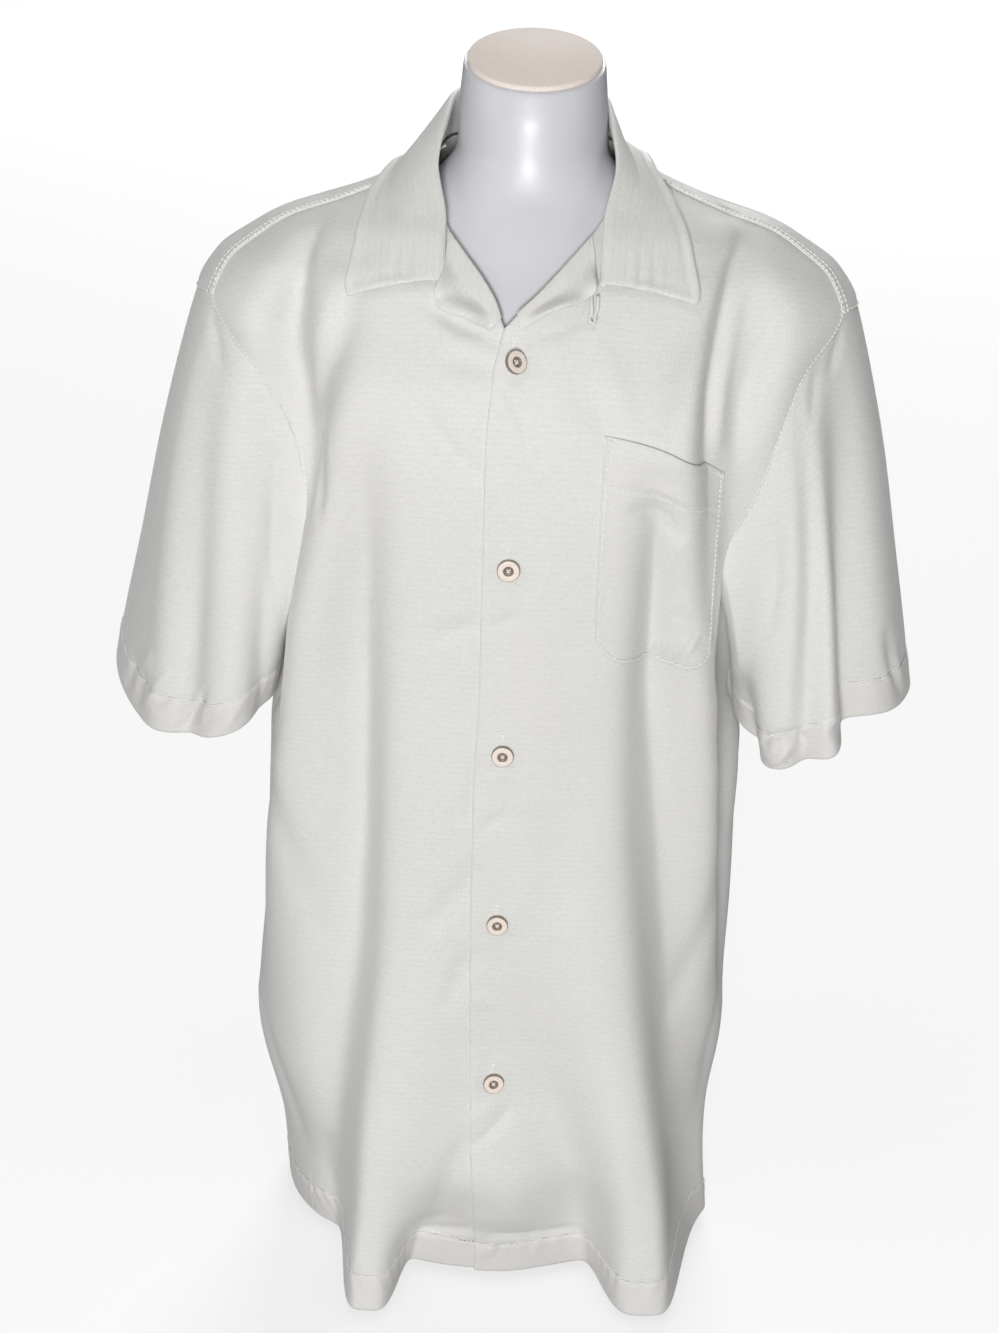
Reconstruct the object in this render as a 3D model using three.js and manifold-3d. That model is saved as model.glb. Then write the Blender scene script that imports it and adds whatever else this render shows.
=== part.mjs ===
// A short-sleeved camp shirt on a limbless dress form.
// Millimetres, +Z up. The origin is the middle of the form's flat base. The shirt's front faces -Y,
// and the wearer's left is +X.
//
// The body of the shirt is one skin: a closed level ring at each height, pushed in and out by folds.
// A place on the skin is "along", the level distance round the ring from its foremost point (+ to the
// wearer's left), and a height. Each panel is the stretch of skin between its seams, made a wall.
import * as THREE from "three";
import Module from "manifold-3d";

// Cloth and seams
const CLOTH = 1.4;
const SEAM_GAP = 0.5;
const PIECE_GAP = 0.4;

// The body's rings: middle and half width across, foremost and rearmost depth, depth of the side point,
// and how square the ring is (2 is an ellipse).
const RINGS = [
  { z: 8, centre: -7, half: 154, front: -112, back: 116, side: 8, square: 2.0 },
  { z: 60, centre: -7, half: 157, front: -111, back: 116, side: 8, square: 2.05 },
  { z: 160, centre: -10, half: 171, front: -111, back: 115, side: 8, square: 2.2 },
  { z: 290, centre: -7, half: 167, front: -112, back: 111, side: 6, square: 2.4 },
  { z: 377, centre: -7, half: 163, front: -112, back: 107, side: 5, square: 2.5 },
  { z: 450, centre: -6, half: 161, front: -112, back: 105, side: 5, square: 2.6 },
  { z: 500, centre: -5, half: 163, front: -112, back: 106, side: 6, square: 2.7 },
  { z: 560, centre: -2, half: 169, front: -112, back: 109, side: 8, square: 2.7 },
  { z: 610, centre: 0, half: 178, front: -111, back: 112, side: 10, square: 2.6 },
  { z: 650, centre: 0, half: 191, front: -106, back: 110, side: 13, square: 2.4 },
  { z: 686, centre: 0, half: 208, front: -92, back: 102, side: 17, square: 2.2 },
  { z: 710, centre: 0, half: 195, front: -80, back: 95, side: 17, square: 2.1 },
  { z: 725, centre: 0, half: 174, front: -69, back: 90, side: 17, square: 2.0 },
  { z: 736, centre: 0, half: 154, front: -60, back: 85, side: 17, square: 2.0 },
  { z: 747, centre: 0, half: 119, front: -49, back: 79, side: 17, square: 2.0 },
  { z: 760, centre: 0, half: 86, front: -39, back: 72, side: 17, square: 2.0 },
  { z: 778, centre: 0, half: 54, front: -28, back: 64, side: 17, square: 2.0 },
];
const HEM_Z = 8;
const NECK_Z = 778;

// Folds: at each height, the place of the fold's middle along the ring, how far it stands out (+) or
// sinks in (-), and its half width. Right and left are the wearer's.
const FOLDS = {
  right_side_valley: [
    { z: 722, place: -140, depth: 0, width: 15 },
    { z: 690, place: -146, depth: -8, width: 16 },
    { z: 600, place: -152, depth: -15, width: 18 },
    { z: 520, place: -172, depth: -22, width: 20 },
    { z: 465, place: -196, depth: -26, width: 30 },
    { z: 425, place: -204, depth: -28, width: 32 },
    { z: 385, place: -200, depth: -24, width: 22 },
    { z: 280, place: -214, depth: -14, width: 20 },
    { z: 170, place: -216, depth: 0, width: 20 },
  ],
  right_side_ridge: [
    { z: 690, place: -112, depth: 0, width: 20 },
    { z: 600, place: -118, depth: 6, width: 20 },
    { z: 480, place: -144, depth: 9, width: 20 },
    { z: 370, place: -168, depth: 9, width: 20 },
    { z: 280, place: -186, depth: 4, width: 22 },
    { z: 200, place: -190, depth: 0, width: 22 },
  ],
  left_side_valley: [
    { z: 722, place: 144, depth: 0, width: 15 },
    { z: 690, place: 144, depth: -9, width: 16 },
    { z: 600, place: 142, depth: -17, width: 17 },
    { z: 520, place: 160, depth: -24, width: 19 },
    { z: 465, place: 186, depth: -27, width: 30 },
    { z: 425, place: 196, depth: -29, width: 32 },
    { z: 385, place: 190, depth: -25, width: 22 },
    { z: 280, place: 200, depth: -16, width: 20 },
    { z: 170, place: 210, depth: 0, width: 20 },
  ],
  left_side_ridge: [
    { z: 710, place: 116, depth: 0, width: 18 },
    { z: 640, place: 113, depth: 5, width: 18 },
    { z: 540, place: 118, depth: 7, width: 18 },
    { z: 440, place: 138, depth: 8, width: 18 },
    { z: 340, place: 152, depth: 5, width: 20 },
    { z: 220, place: 164, depth: 0, width: 20 },
  ],
  right_hem_valley: [
    { z: 500, place: -90, depth: 0, width: 13 },
    { z: 350, place: -91, depth: -5, width: 13 },
    { z: 200, place: -102, depth: -8, width: 14 },
    { z: 100, place: -114, depth: -7, width: 14 },
    { z: 8, place: -122, depth: -3, width: 14 },
  ],
  left_hem_valley: [
    { z: 600, place: 80, depth: 0, width: 13 },
    { z: 420, place: 88, depth: -6, width: 13 },
    { z: 260, place: 112, depth: -8, width: 14 },
    { z: 130, place: 140, depth: -8, width: 15 },
    { z: 8, place: 164, depth: -4, width: 15 },
  ],
  right_back_fold: [
    { z: 640, place: -330, depth: 0, width: 26 },
    { z: 420, place: -322, depth: -9, width: 24 },
    { z: 200, place: -312, depth: -17, width: 24 },
    { z: 8, place: -306, depth: -26, width: 22 },
  ],
  left_vent_ridge: [
    { z: 150, place: 172, depth: 0, width: 17 },
    { z: 76, place: 172, depth: 9, width: 17 },
    { z: 8, place: 172, depth: 22, width: 17 },
  ],
  left_back_fold: [
    { z: 600, place: 352, depth: 0, width: 26 },
    { z: 380, place: 338, depth: -11, width: 24 },
    { z: 180, place: 322, depth: -20, width: 24 },
    { z: 8, place: 312, depth: -24, width: 24 },
  ],
  middle_back_fold: [
    { z: 520, place: -398, depth: 0, width: 30 },
    { z: 300, place: -394, depth: 8, width: 30 },
    { z: 8, place: -380, depth: 20, width: 28 },
  ],
};

// Lobes at the front hem, where the cloth's fullness swings straight forward.
const LOBES = {
  right_hem_lobe: [
    { z: 470, place: -62, depth: 0, width: 34 },
    { z: 300, place: -66, depth: 6, width: 34 },
    { z: 200, place: -70, depth: 18, width: 32 },
    { z: 100, place: -77, depth: 42, width: 29 },
    { z: 8, place: -82, depth: 66, width: 26 },
  ],
  left_hem_lobe: [
    { z: 560, place: 54, depth: 0, width: 30 },
    { z: 400, place: 62, depth: 4, width: 32 },
    { z: 250, place: 82, depth: 18, width: 35 },
    { z: 120, place: 108, depth: 52, width: 35 },
    { z: 8, place: 126, depth: 84, width: 33 },
  ],
};
const FOLD_POWER = 2;
const LOBE_POWER = 3.2;

// Armhole edges: the angle round the ring from the front, at each height. The yoke's end gives the height
// at each angle over the shoulder instead.
const ARMHOLE_FRONT = [
  { z: 486, angle: 90 },
  { z: 488, angle: 83 },
  { z: 494, angle: 75 },
  { z: 503, angle: 67 },
  { z: 516, angle: 61 },
  { z: 534, angle: 57 },
  { z: 610, angle: 57 },
  { z: 655, angle: 58 },
  { z: 691, angle: 68 },
];
const ARMHOLE_BACK = [
  { z: 486, angle: 90 },
  { z: 488, angle: 97 },
  { z: 494, angle: 104 },
  { z: 503, angle: 111 },
  { z: 516, angle: 115 },
  { z: 534, angle: 117 },
  { z: 610, angle: 117 },
  { z: 650, angle: 116 },
];
const YOKE_END = [
  { angle: 68, z: 691 },
  { angle: 90, z: 686 },
  { angle: 108, z: 682 },
  { angle: 116, z: 650 },
];
const SIDE_ANGLE = 90;
const UNDERARM_Z = 534;
const YOKE_FRONT_Z = 691;
const YOKE_BACK_Z = 650;
const YOKE_NECK = { front: 76, side: 90, rear: 114 };
const YOKE_STEPS = { end: 8, back: 7 };
const YOKE_ROWS = 5;

// Front yoke seam and neckline, by height: the seam's angle round the ring, and the V's edge across
// from the middle of the body on the wearer's right and left.
const YOKE_SEAM = [
  { z: 691, angle: 68 },
  { z: 725, angle: 73 },
  { z: 764, angle: 76 },
];
const NECKLINE = [
  { z: 691, right: -14, left: -13 },
  { z: 700, right: -18, left: -4 },
  { z: 719, right: -32, left: 16 },
  { z: 739, right: -48, left: 37 },
  { z: 750, right: -54, left: 46 },
  { z: 764, right: -62, left: 58 },
];

// Front closing: the left front laps over the right front.
const LAP_EDGE_X = -23;
const UNDERLAP_X = 12;
const LAP_TOP_Z = 600;
const LAP_RISE = 2.4;
const LAP_FADE = 26;
const VENT_TOP = 76;
const VENT_HALF = 2.5;

// Collar: one side, by steps from the middle of the back to the notch at the front. The roll line has
// the neck seam below it (seam_y, drop); the leaf lies on the shirt from the roll line to its edge, which
// is drawn in over the wearer's left shoulder.
const COLLAR_ROLL_LINE = [
  { step: 0.0, x: 0, y: 67, z: 810, seam_y: 64, drop: 28 },
  { step: 0.2, x: 27, y: 61, z: 810, seam_y: 58, drop: 28 },
  { step: 0.42, x: 46, y: 36, z: 807, seam_y: 35, drop: 26 },
  { step: 0.58, x: 50, y: 6, z: 797, seam_y: 8, drop: 16 },
  { step: 0.72, x: 54, y: -20, z: 776, seam_y: -18, drop: 5 },
  { step: 0.86, x: 47, y: -51, z: 747, seam_y: -50, drop: 4 },
  { step: 1.0, x: 46, y: -77, z: 718, seam_y: -76, drop: 4 },
];
const COLLAR_EDGE = [
  { step: 0.0, x: 0, y: 88, z: 748, left_draw: 0 },
  { step: 0.2, x: 40, y: 82, z: 752, left_draw: 2 },
  { step: 0.42, x: 70, y: 52, z: 762, left_draw: 8 },
  { step: 0.58, x: 84, y: 12, z: 764, left_draw: 12 },
  { step: 0.72, x: 93, y: -16, z: 752, left_draw: 8 },
  { step: 0.86, x: 99, y: -50, z: 731, left_draw: 2 },
  { step: 1.0, x: 104, y: -74, z: 706, left_draw: 0 },
];
const COLLAR_SHIFT = -4;
const COLLAR_LIFT = 5.4;
const STAND_LIFT = 2.6;
const COLLAR_ROLL = 2.6;
const COLLAR_SPREAD = 2;
const COLLAR_CROWN = { back: 5, front: 2 };
const COLLAR_SECTIONS = 13;
const COLLAR_CLOTH = 1.7;

// Lapels: the V edge and the outer edge of each turned facing, from the notch down to the first button.
const LAPELS = {
  right: [
    { v_x: -47, v_z: 738, out_x: -51, out_z: 717 },
    { v_x: -38, v_z: 728, out_x: -53, out_z: 709 },
    { v_x: -28, v_z: 717, out_x: -52, out_z: 703 },
    { v_x: -20, v_z: 706, out_x: -35, out_z: 697 },
    { v_x: -16, v_z: 697, out_x: -22, out_z: 691 },
  ],
  left: [
    { v_x: 36, v_z: 738, out_x: 40, out_z: 716 },
    { v_x: 27, v_z: 729, out_x: 38, out_z: 711 },
    { v_x: 17, v_z: 719, out_x: 32, out_z: 706 },
    { v_x: 5, v_z: 708, out_x: 14, out_z: 700 },
    { v_x: -6, v_z: 699, out_x: -4, out_z: 692 },
  ],
};
const LAPEL_LIFT = 1.9;
const LAPEL_CROWN = 0.5;

// Sleeves: the hem ring of each, and the lie of the cloth from the armhole to it. The ring's front is
// turned in and down, and its front outer quarter stands higher than its front inner quarter.
const SLEEVE_HEM = [
  {
    side: -1, x: 218, y: 8, z: 424,
    half_x: 54, half_y: 83, turn_in: 26, out_drop: 9, fore_drop: 11, lift: -4,
  },
  {
    side: 1, x: 214, y: 5, z: 427,
    half_x: 56, half_y: 89, turn_in: 22, out_drop: 3, fore_drop: 18, lift: 14,
  },
];
const SLEEVE_START = { out: 0.34, down: 0.94, swell: 0.325 };
const SLEEVE_END = { out: 0.2, down: 0.98 };
const SLEEVE_GAP = 1.2;
const UNDERARM_GAP = 2;
const UNDERARM_FALL = 90;
const SLEEVE_FOLDS = [
  { side: -1, turn: 54, depth: -8, width: 12, start: 0.25 },
  { side: -1, turn: 125, depth: -3, width: 14, start: 0.45 },
  { side: -1, turn: 250, depth: -7, width: 18, start: 0.3 },
  { side: 1, turn: 48, depth: -22, width: 18, start: 0.05 },
  { side: 1, turn: 138, depth: -18, width: 14, start: 0.5 },
  { side: 1, turn: 255, depth: -7, width: 18, start: 0.3 },
];

// Pocket on the left front: across from the middle of the body, and heights, of its four corners.
const POCKET = { left: 47, right: 122, top_in: 634, top_out: 604, foot_in: 492, foot_out: 472, corner: 22 };
const POCKET_LIFT = CLOTH + PIECE_GAP;
const POCKET_DEPTHS = { from: -66, to: -206 };

// Buttons
const BUTTON_X = -7;
const BUTTON_HEIGHTS = [673, 551, 425, 301, 176];
const BUTTON = { radius: 7, thick: 2.8, rim: 3.4, slope: 0.5, edge: 0.5, well: 0.9, lift: 0.5 };
const BUTTON_HOLE = { radius: 0.75, out: 1.45 };
const FIRST_BUTTON = { turn: 38, lean: 0.82 };

// Button loop at the left lapel's corner
const LOOP = { x: 38, z: 709, length: 15, half: 1.9, tube: 1.1, lift: 3.3, turn_up: 1.5, turn_in: 0.8 };

// Dress form
const FORM = [
  { z: 0, half: 118, front: -80, back: 74, side: 4, square: 2.2 },
  { z: 60, half: 124, front: -84, back: 78, side: 4, square: 2.2 },
  { z: 150, half: 128, front: -88, back: 84, side: 5, square: 2.2 },
  { z: 250, half: 124, front: -88, back: 84, side: 6, square: 2.2 },
  { z: 350, half: 118, front: -88, back: 84, side: 6, square: 2.2 },
  { z: 440, half: 124, front: -92, back: 88, side: 6, square: 2.3 },
  { z: 520, half: 137, front: -98, back: 96, side: 8, square: 2.3 },
  { z: 590, half: 150, front: -100, back: 101, side: 11, square: 2.2 },
  { z: 640, half: 162, front: -95, back: 100, side: 15, square: 2.1 },
  { z: 680, half: 172, front: -84, back: 93, side: 17, square: 2.0 },
  { z: 706, half: 172, front: -73, back: 87, side: 17, square: 2.0 },
  { z: 722, half: 159, front: -62, back: 81, side: 17, square: 2.0 },
  { z: 732, half: 140, front: -54, back: 77, side: 17, square: 2.0 },
  { z: 742, half: 110, front: -45, back: 71, side: 16, square: 2.0 },
  { z: 752, half: 82, front: -38, back: 65, side: 15, square: 2.0 },
  { z: 764, half: 58, front: -34, back: 59, side: 13, square: 2.0 },
  { z: 780, half: 46, front: -32, back: 57, side: 12, square: 2.0 },
  { z: 805, half: 45, front: -31, back: 57, side: 13, square: 2.0 },
  { z: 828, half: 43, front: -27, back: 57, side: 15, square: 2.0 },
];
const NECK_TILT = { from: 764, to: 828, slope: 0.3, middle: 15 };
const CAP = { inset: 2.2, thick: 3, gap: 0.3, edge: 0.8 };
const FORM_COLUMNS = 32;

// Fineness of the faceted solids
const SIDE_HEIGHTS = [534, 510, 485, 455, 425, 380, 310, 230, 150, 76, 8];
const FRONT_HEIGHTS = [764, 752, 740, 728, 715, 703, 691, 665, 635, 600, 565, ...SIDE_HEIGHTS];
const BACK_HEIGHTS = [650, 610, 570, ...SIDE_HEIGHTS];
const FRONT_COLUMNS = 18;
const BACK_COLUMNS = 19;
const SIDE_COLUMNS = 8;
const SLEEVE_COLUMNS = 28;
const SLEEVE_ROWS = 9;
const RING_SAMPLES = 240;

const DEGREE = Math.PI / 180;

// ---------------------------------------------------------------------------------------------------
// Tables and curves

// A smooth line through points, which never overshoots them.
function smoothLine(at, values) {
  const last = at.length - 1;
  const step = at.slice(1).map((a, i) => a - at[i]);
  const rise = step.map((h, i) => (values[i + 1] - values[i]) / h);
  const slope = values.map((_, i) => {
    if (i === 0) return rise[0];
    if (i === last) return rise[last - 1];
    if (rise[i - 1] * rise[i] <= 0) return 0;
    const before = 2 * step[i] + step[i - 1];
    const after = step[i] + 2 * step[i - 1];
    return (before + after) / (before / rise[i - 1] + after / rise[i]);
  });
  return (place) => {
    const x = Math.min(Math.max(place, at[0]), at[last]);
    let i = 0;
    while (i < last - 1 && x > at[i + 1]) i += 1;
    const h = step[i];
    const t = (x - at[i]) / h;
    const start = (1 + 2 * t) * (1 - t) ** 2 * values[i] + t * (1 - t) ** 2 * h * slope[i];
    const end = t * t * (3 - 2 * t) * values[i + 1] + t * t * (t - 1) * h * slope[i + 1];
    return start + end;
  };
}

// Reads a table by its key column: returns a function from a key to a row with every other column.
function readTable(rows, key) {
  const sorted = [...rows].sort((a, b) => a[key] - b[key]);
  const at = sorted.map((row) => row[key]);
  const names = Object.keys(sorted[0]).filter((name) => name !== key);
  const lines = names.map((name) => smoothLine(at, sorted.map((row) => row[name])));
  return (place) => Object.fromEntries(names.map((name, i) => [name, lines[i](place)]));
}

function mix(a, b, t) {
  return a + (b - a) * t;
}

// Even steps from one value towards another, which is left out.
function sweep(from, to, steps) {
  return Array.from({ length: steps }, (_, k) => mix(from, to, k / steps));
}

// ---------------------------------------------------------------------------------------------------
// The skin

// A point of a ring at an angle from its front, positive towards +X.
function ringPoint(ring, angle) {
  const s = Math.sin(angle);
  const c = Math.cos(angle);
  const power = 2 / ring.square;
  const depth = c >= 0 ? ring.side - ring.front : ring.back - ring.side;
  return {
    x: (ring.centre ?? 0) + ring.half * Math.sign(s) * Math.abs(s) ** power,
    y: ring.side - depth * Math.sign(c) * Math.abs(c) ** power,
  };
}

function foldReader(rows) {
  return { top: Math.max(...rows.map((row) => row.z)), at: readTable(rows, "z") };
}

const ringTable = readTable(RINGS, "z");
const foldTables = Object.values(FOLDS).map(foldReader);
const lobeTables = Object.values(LOBES).map(foldReader);
const rings = new Map();

// The ring at a height as a polyline with its angles and its lengths from the front, kept once made.
function ringAt(z) {
  if (rings.has(z)) return rings.get(z);
  const section = ringTable(z);
  const points = [];
  const angles = [];
  for (let i = 0; i <= RING_SAMPLES; i += 1) {
    const angle = (i / RING_SAMPLES - 0.5) * 2 * Math.PI;
    angles.push(angle);
    points.push(ringPoint(section, angle));
  }
  const lengths = [0];
  for (let i = 1; i <= RING_SAMPLES; i += 1) {
    const run = Math.hypot(points[i].x - points[i - 1].x, points[i].y - points[i - 1].y);
    lengths.push(lengths[i - 1] + run);
  }
  const front = lengths[RING_SAMPLES / 2];
  const made = { points, angles, lengths: lengths.map((length) => length - front) };
  rings.set(z, made);
  return made;
}

function seek(values, value) {
  let low = 0;
  let high = values.length - 1;
  while (high - low > 1) {
    const middle = (low + high) >> 1;
    if (values[middle] > value) high = middle;
    else low = middle;
  }
  return { low, share: (value - values[low]) / (values[low + 1] - values[low]) };
}

// A place past the ring's rearmost point, brought back into the ring's own range.
function onRing(along, z) {
  const { lengths } = ringAt(z);
  const full = lengths[RING_SAMPLES] - lengths[0];
  return along > lengths[RING_SAMPLES] ? along - full : along;
}

function alongOf(angle, z) {
  const ring = ringAt(z);
  const { low, share } = seek(ring.angles, angle);
  return mix(ring.lengths[low], ring.lengths[low + 1], share);
}

// How far folds push the skin at a place: a fold's section is a bell, flat-topped at a higher power.
function foldDepth(tables, along, z, power) {
  let depth = 0;
  for (const fold of tables) {
    if (z >= fold.top) continue;
    const row = fold.at(z);
    depth += row.depth * Math.exp(-(Math.abs((along - row.place) / row.width) ** power));
  }
  return depth;
}

// The skin's point at a place along the ring and a height.
function skinPoint(along, z) {
  const ring = ringAt(z);
  const { low, share } = seek(ring.lengths, along);
  const a = ring.points[low];
  const b = ring.points[low + 1];
  const run = Math.hypot(b.x - a.x, b.y - a.y);
  const depth = foldDepth(foldTables, along, z, FOLD_POWER);
  const x = mix(a.x, b.x, share) + (depth * (b.y - a.y)) / run;
  const y = mix(a.y, b.y, share) - (depth * (b.x - a.x)) / run - foldDepth(lobeTables, along, z, LOBE_POWER);
  return new THREE.Vector3(x, y, z);
}

function skinNormal(along, z) {
  const reach = 1.5;
  const up = Math.min(z + reach, NECK_Z);
  const down = Math.max(z - reach, HEM_Z);
  const across = skinPoint(along + reach, z).sub(skinPoint(along - reach, z));
  const rise = skinPoint(along, up).sub(skinPoint(along, down));
  return across.cross(rise).normalize();
}

function liftedPoint(along, z, lift) {
  return skinPoint(along, z).addScaledVector(skinNormal(along, z), lift);
}

// The place along the front of the ring where the skin is at x.
function alongAtX(x, z) {
  let low = alongOf(-75 * DEGREE, z);
  let high = alongOf(75 * DEGREE, z);
  for (let i = 0; i < 30; i += 1) {
    const middle = (low + high) / 2;
    if (skinPoint(middle, z).x > x) high = middle;
    else low = middle;
  }
  return (low + high) / 2;
}

// ---------------------------------------------------------------------------------------------------
// Solids

function solid(name, positions, triangles, look) {
  const geometry = new THREE.BufferGeometry();
  geometry.setAttribute("position", new THREE.Float32BufferAttribute(positions, 3));
  geometry.setIndex(triangles);
  geometry.computeVertexNormals();
  const mesh = new THREE.Mesh(geometry, new THREE.MeshStandardMaterial(look));
  mesh.name = name;
  return mesh;
}

// The outward directions of a grid of points, rows by columns; a closed grid joins its last column to
// its first.
function gridNormals(grid, closed) {
  return grid.map((row, j) =>
    row.map((_, i) => {
      const wrap = (k) => (k + row.length) % row.length;
      const next = closed ? wrap(i + 1) : Math.min(i + 1, row.length - 1);
      const last = closed ? wrap(i - 1) : Math.max(i - 1, 0);
      const above = grid[Math.max(j - 1, 0)][i];
      const below = grid[Math.min(j + 1, grid.length - 1)][i];
      const across = row[next].clone().sub(row[last]);
      return across.cross(above.clone().sub(below)).normalize();
    }),
  );
}

// A sheet of points with outward directions, made of grids that share the points where they meet. A grid
// has its top row first, and its columns run anticlockwise seen from above.
class Sheet {
  constructor() {
    this.points = [];
    this.normals = [];
    this.faces = [];
    this.seen = new Map();
  }

  add(point, normal) {
    const key = point.toArray().map((value) => Math.round(value * 100)).join();
    if (!this.seen.has(key)) {
      this.seen.set(key, this.points.length);
      this.points.push(point);
      this.normals.push(normal);
    }
    return this.seen.get(key);
  }

  addGrid(grid, normals, closed = false) {
    const index = grid.map((row, j) => row.map((point, i) => this.add(point, normals[j][i])));
    const columns = grid[0].length;
    for (let j = 0; j < grid.length - 1; j += 1) {
      for (let i = 0; i < (closed ? columns : columns - 1); i += 1) {
        const next = (i + 1) % columns;
        const [a, b, c, d] = [index[j][i], index[j + 1][i], index[j + 1][next], index[j][next]];
        this.faces.push([a, b, c], [a, c, d]);
      }
    }
    return this;
  }

  // The sheet as a closed wall: its points are the outer face, and every open edge gets a rim.
  wall(name, thickness, look) {
    const inside = this.points.length;
    const inner = this.points.map((p, i) => p.clone().addScaledVector(this.normals[i], -thickness));
    const positions = [...this.points, ...inner].flatMap((p) => p.toArray());
    const edges = new Set();
    const faces = this.faces.filter(([a, b, c]) => a !== b && b !== c && c !== a);
    faces.forEach(([a, b, c]) => [[a, b], [b, c], [c, a]].forEach((edge) => edges.add(edge.join())));
    const triangles = faces.flatMap(([a, b, c]) => [a, b, c, inside + a, inside + c, inside + b]);
    for (const edge of edges) {
      const [a, b] = edge.split(",").map(Number);
      if (edges.has(`${b},${a}`)) continue;
      triangles.push(b, a, inside + a, b, inside + a, inside + b);
    }
    return solid(name, positions, triangles, look);
  }
}

function wall(name, grid, thickness, look, closed = false) {
  return new Sheet().addGrid(grid, gridNormals(grid, closed), closed).wall(name, thickness, look);
}

const wasm = await Module();
wasm.setup();

function toManifold(geometry) {
  const plain = mergePositions(geometry);
  return new wasm.Manifold(new wasm.Mesh({ numProp: 3, ...plain }));
}

// The positions of a geometry with equal ones merged, as a boolean library wants them.
function mergePositions(geometry) {
  const source = geometry.index ? geometry.toNonIndexed() : geometry;
  const position = source.getAttribute("position");
  const seen = new Map();
  const vertices = [];
  const corners = [];
  for (let i = 0; i < position.count; i += 1) {
    const p = [position.getX(i), position.getY(i), position.getZ(i)];
    const key = p.map((v) => Math.round(v * 1e4)).join();
    if (!seen.has(key)) {
      seen.set(key, vertices.length / 3);
      vertices.push(...p);
    }
    corners.push(seen.get(key));
  }
  const triangles = [];
  for (let i = 0; i < corners.length; i += 3) {
    const [a, b, c] = corners.slice(i, i + 3);
    if (a !== b && b !== c && a !== c) triangles.push(a, b, c);
  }
  return { vertProperties: new Float32Array(vertices), triVerts: new Uint32Array(triangles) };
}

function fromManifold(body) {
  const mesh = body.getMesh();
  const geometry = new THREE.BufferGeometry();
  geometry.setAttribute("position", new THREE.BufferAttribute(mesh.vertProperties, 3));
  geometry.setIndex(new THREE.BufferAttribute(mesh.triVerts, 1));
  return geometry;
}

// Points evenly spaced along a polyline, both ends kept.
function evenly(points, count) {
  const lengths = [0];
  for (let i = 1; i < points.length; i += 1) {
    lengths.push(lengths[i - 1] + points[i].distanceTo(points[i - 1]));
  }
  const total = lengths[points.length - 1];
  return Array.from({ length: count }, (_, k) => {
    const { low, share } = seek(lengths, (total * k) / (count - 1));
    return points[low].clone().lerp(points[low + 1], share);
  });
}

// Places between two others at one height, evenly spaced over the skin's folds.
function evenPlaces(z, from, to, count) {
  const samples = 120;
  const lengths = [0];
  let last = skinPoint(onRing(from, z), z);
  for (let k = 1; k <= samples; k += 1) {
    const point = skinPoint(onRing(mix(from, to, k / samples), z), z);
    lengths.push(lengths[k - 1] + point.distanceTo(last));
    last = point;
  }
  return Array.from({ length: count }, (_, k) => {
    const { low, share } = seek(lengths, (lengths[samples] * k) / (count - 1));
    return { along: onRing(mix(from, to, (low + share) / samples), z), z };
  });
}

// A wall of cloth on the skin, from grids of places and how far each place is lifted.
function skinWall(name, patches, lift = () => 0) {
  const sheet = new Sheet();
  for (const places of patches) {
    const grid = places.map((row) => row.map(({ along, z }) => liftedPoint(along, z, lift(along))));
    const normals = places.map((row) => row.map(({ along, z }) => skinNormal(along, z)));
    sheet.addGrid(grid, normals);
  }
  return sheet.wall(name, CLOTH, CLOTH_LOOK);
}

// ---------------------------------------------------------------------------------------------------
// Finishes

const CLOTH_LOOK = { color: 0xe9e8df, roughness: 0.62, metalness: 0 };
const BUTTON_LOOK = { color: 0xdccdbd, roughness: 0.4, metalness: 0 };
const FORM_LOOK = { color: 0xe6e5ea, roughness: 0.25, metalness: 0 };
const CAP_LOOK = { color: 0xc8bdb8, roughness: 0.7, metalness: 0 };

// ---------------------------------------------------------------------------------------------------
// Body panels

const seamTable = readTable(YOKE_SEAM, "z");
const neckTable = readTable(NECKLINE, "z");
const frontTable = readTable(ARMHOLE_FRONT, "z");
const backTable = readTable(ARMHOLE_BACK, "z");
const endTable = readTable(YOKE_END, "angle");

function ventGap(z) {
  return z < VENT_TOP ? mix(VENT_HALF, SEAM_GAP / 2, z / VENT_TOP) : SEAM_GAP / 2;
}

// The upright line at the armhole's edge, which goes on down the panel below the armhole.
function armholeLine(side, z, table) {
  const angle = table(Math.max(z, UNDERARM_Z)).angle;
  return side * Math.abs(alongOf(side * angle * DEGREE, z));
}

// Outer bound of a front panel above the underarm curve: armhole, then yoke seam.
function frontBound(side, z) {
  if (z >= YOKE_FRONT_Z) return alongOf(side * seamTable(z).angle * DEGREE, z) - side * SEAM_GAP;
  const line = armholeLine(side, z, frontTable);
  return z < UNDERARM_Z ? line : line - side * SEAM_GAP;
}

// The part of a panel under the arm: columns at fixed angles round the ring, from the armhole line to the
// side seam, each ending at the underarm curve.
function underarmPlaces(side, heights, rows, seamSign) {
  const curve = readTable(rows.filter((row) => row.z <= UNDERARM_Z), "angle");
  const start = rows.find((row) => row.z === UNDERARM_Z).angle;
  const low = heights.filter((z) => z <= UNDERARM_Z);
  const grid = low.map((level) =>
    Array.from({ length: SIDE_COLUMNS }, (_, i) => {
      const share = i / (SIDE_COLUMNS - 1);
      const angle = mix(start, SIDE_ANGLE, share);
      const z = mix(HEM_Z, curve(angle).z, (level - HEM_Z) / (UNDERARM_Z - HEM_Z));
      const line = alongOf(side * angle * DEGREE, z);
      const corner = i === 0 && z === UNDERARM_Z ? SEAM_GAP : 0;
      const seam = i === SIDE_COLUMNS - 1 ? ventGap(z) : 0;
      return { along: line - seamSign * side * (corner + seam), z };
    }),
  );
  return side * seamSign > 0 ? grid : grid.map((row) => row.reverse());
}

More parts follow.
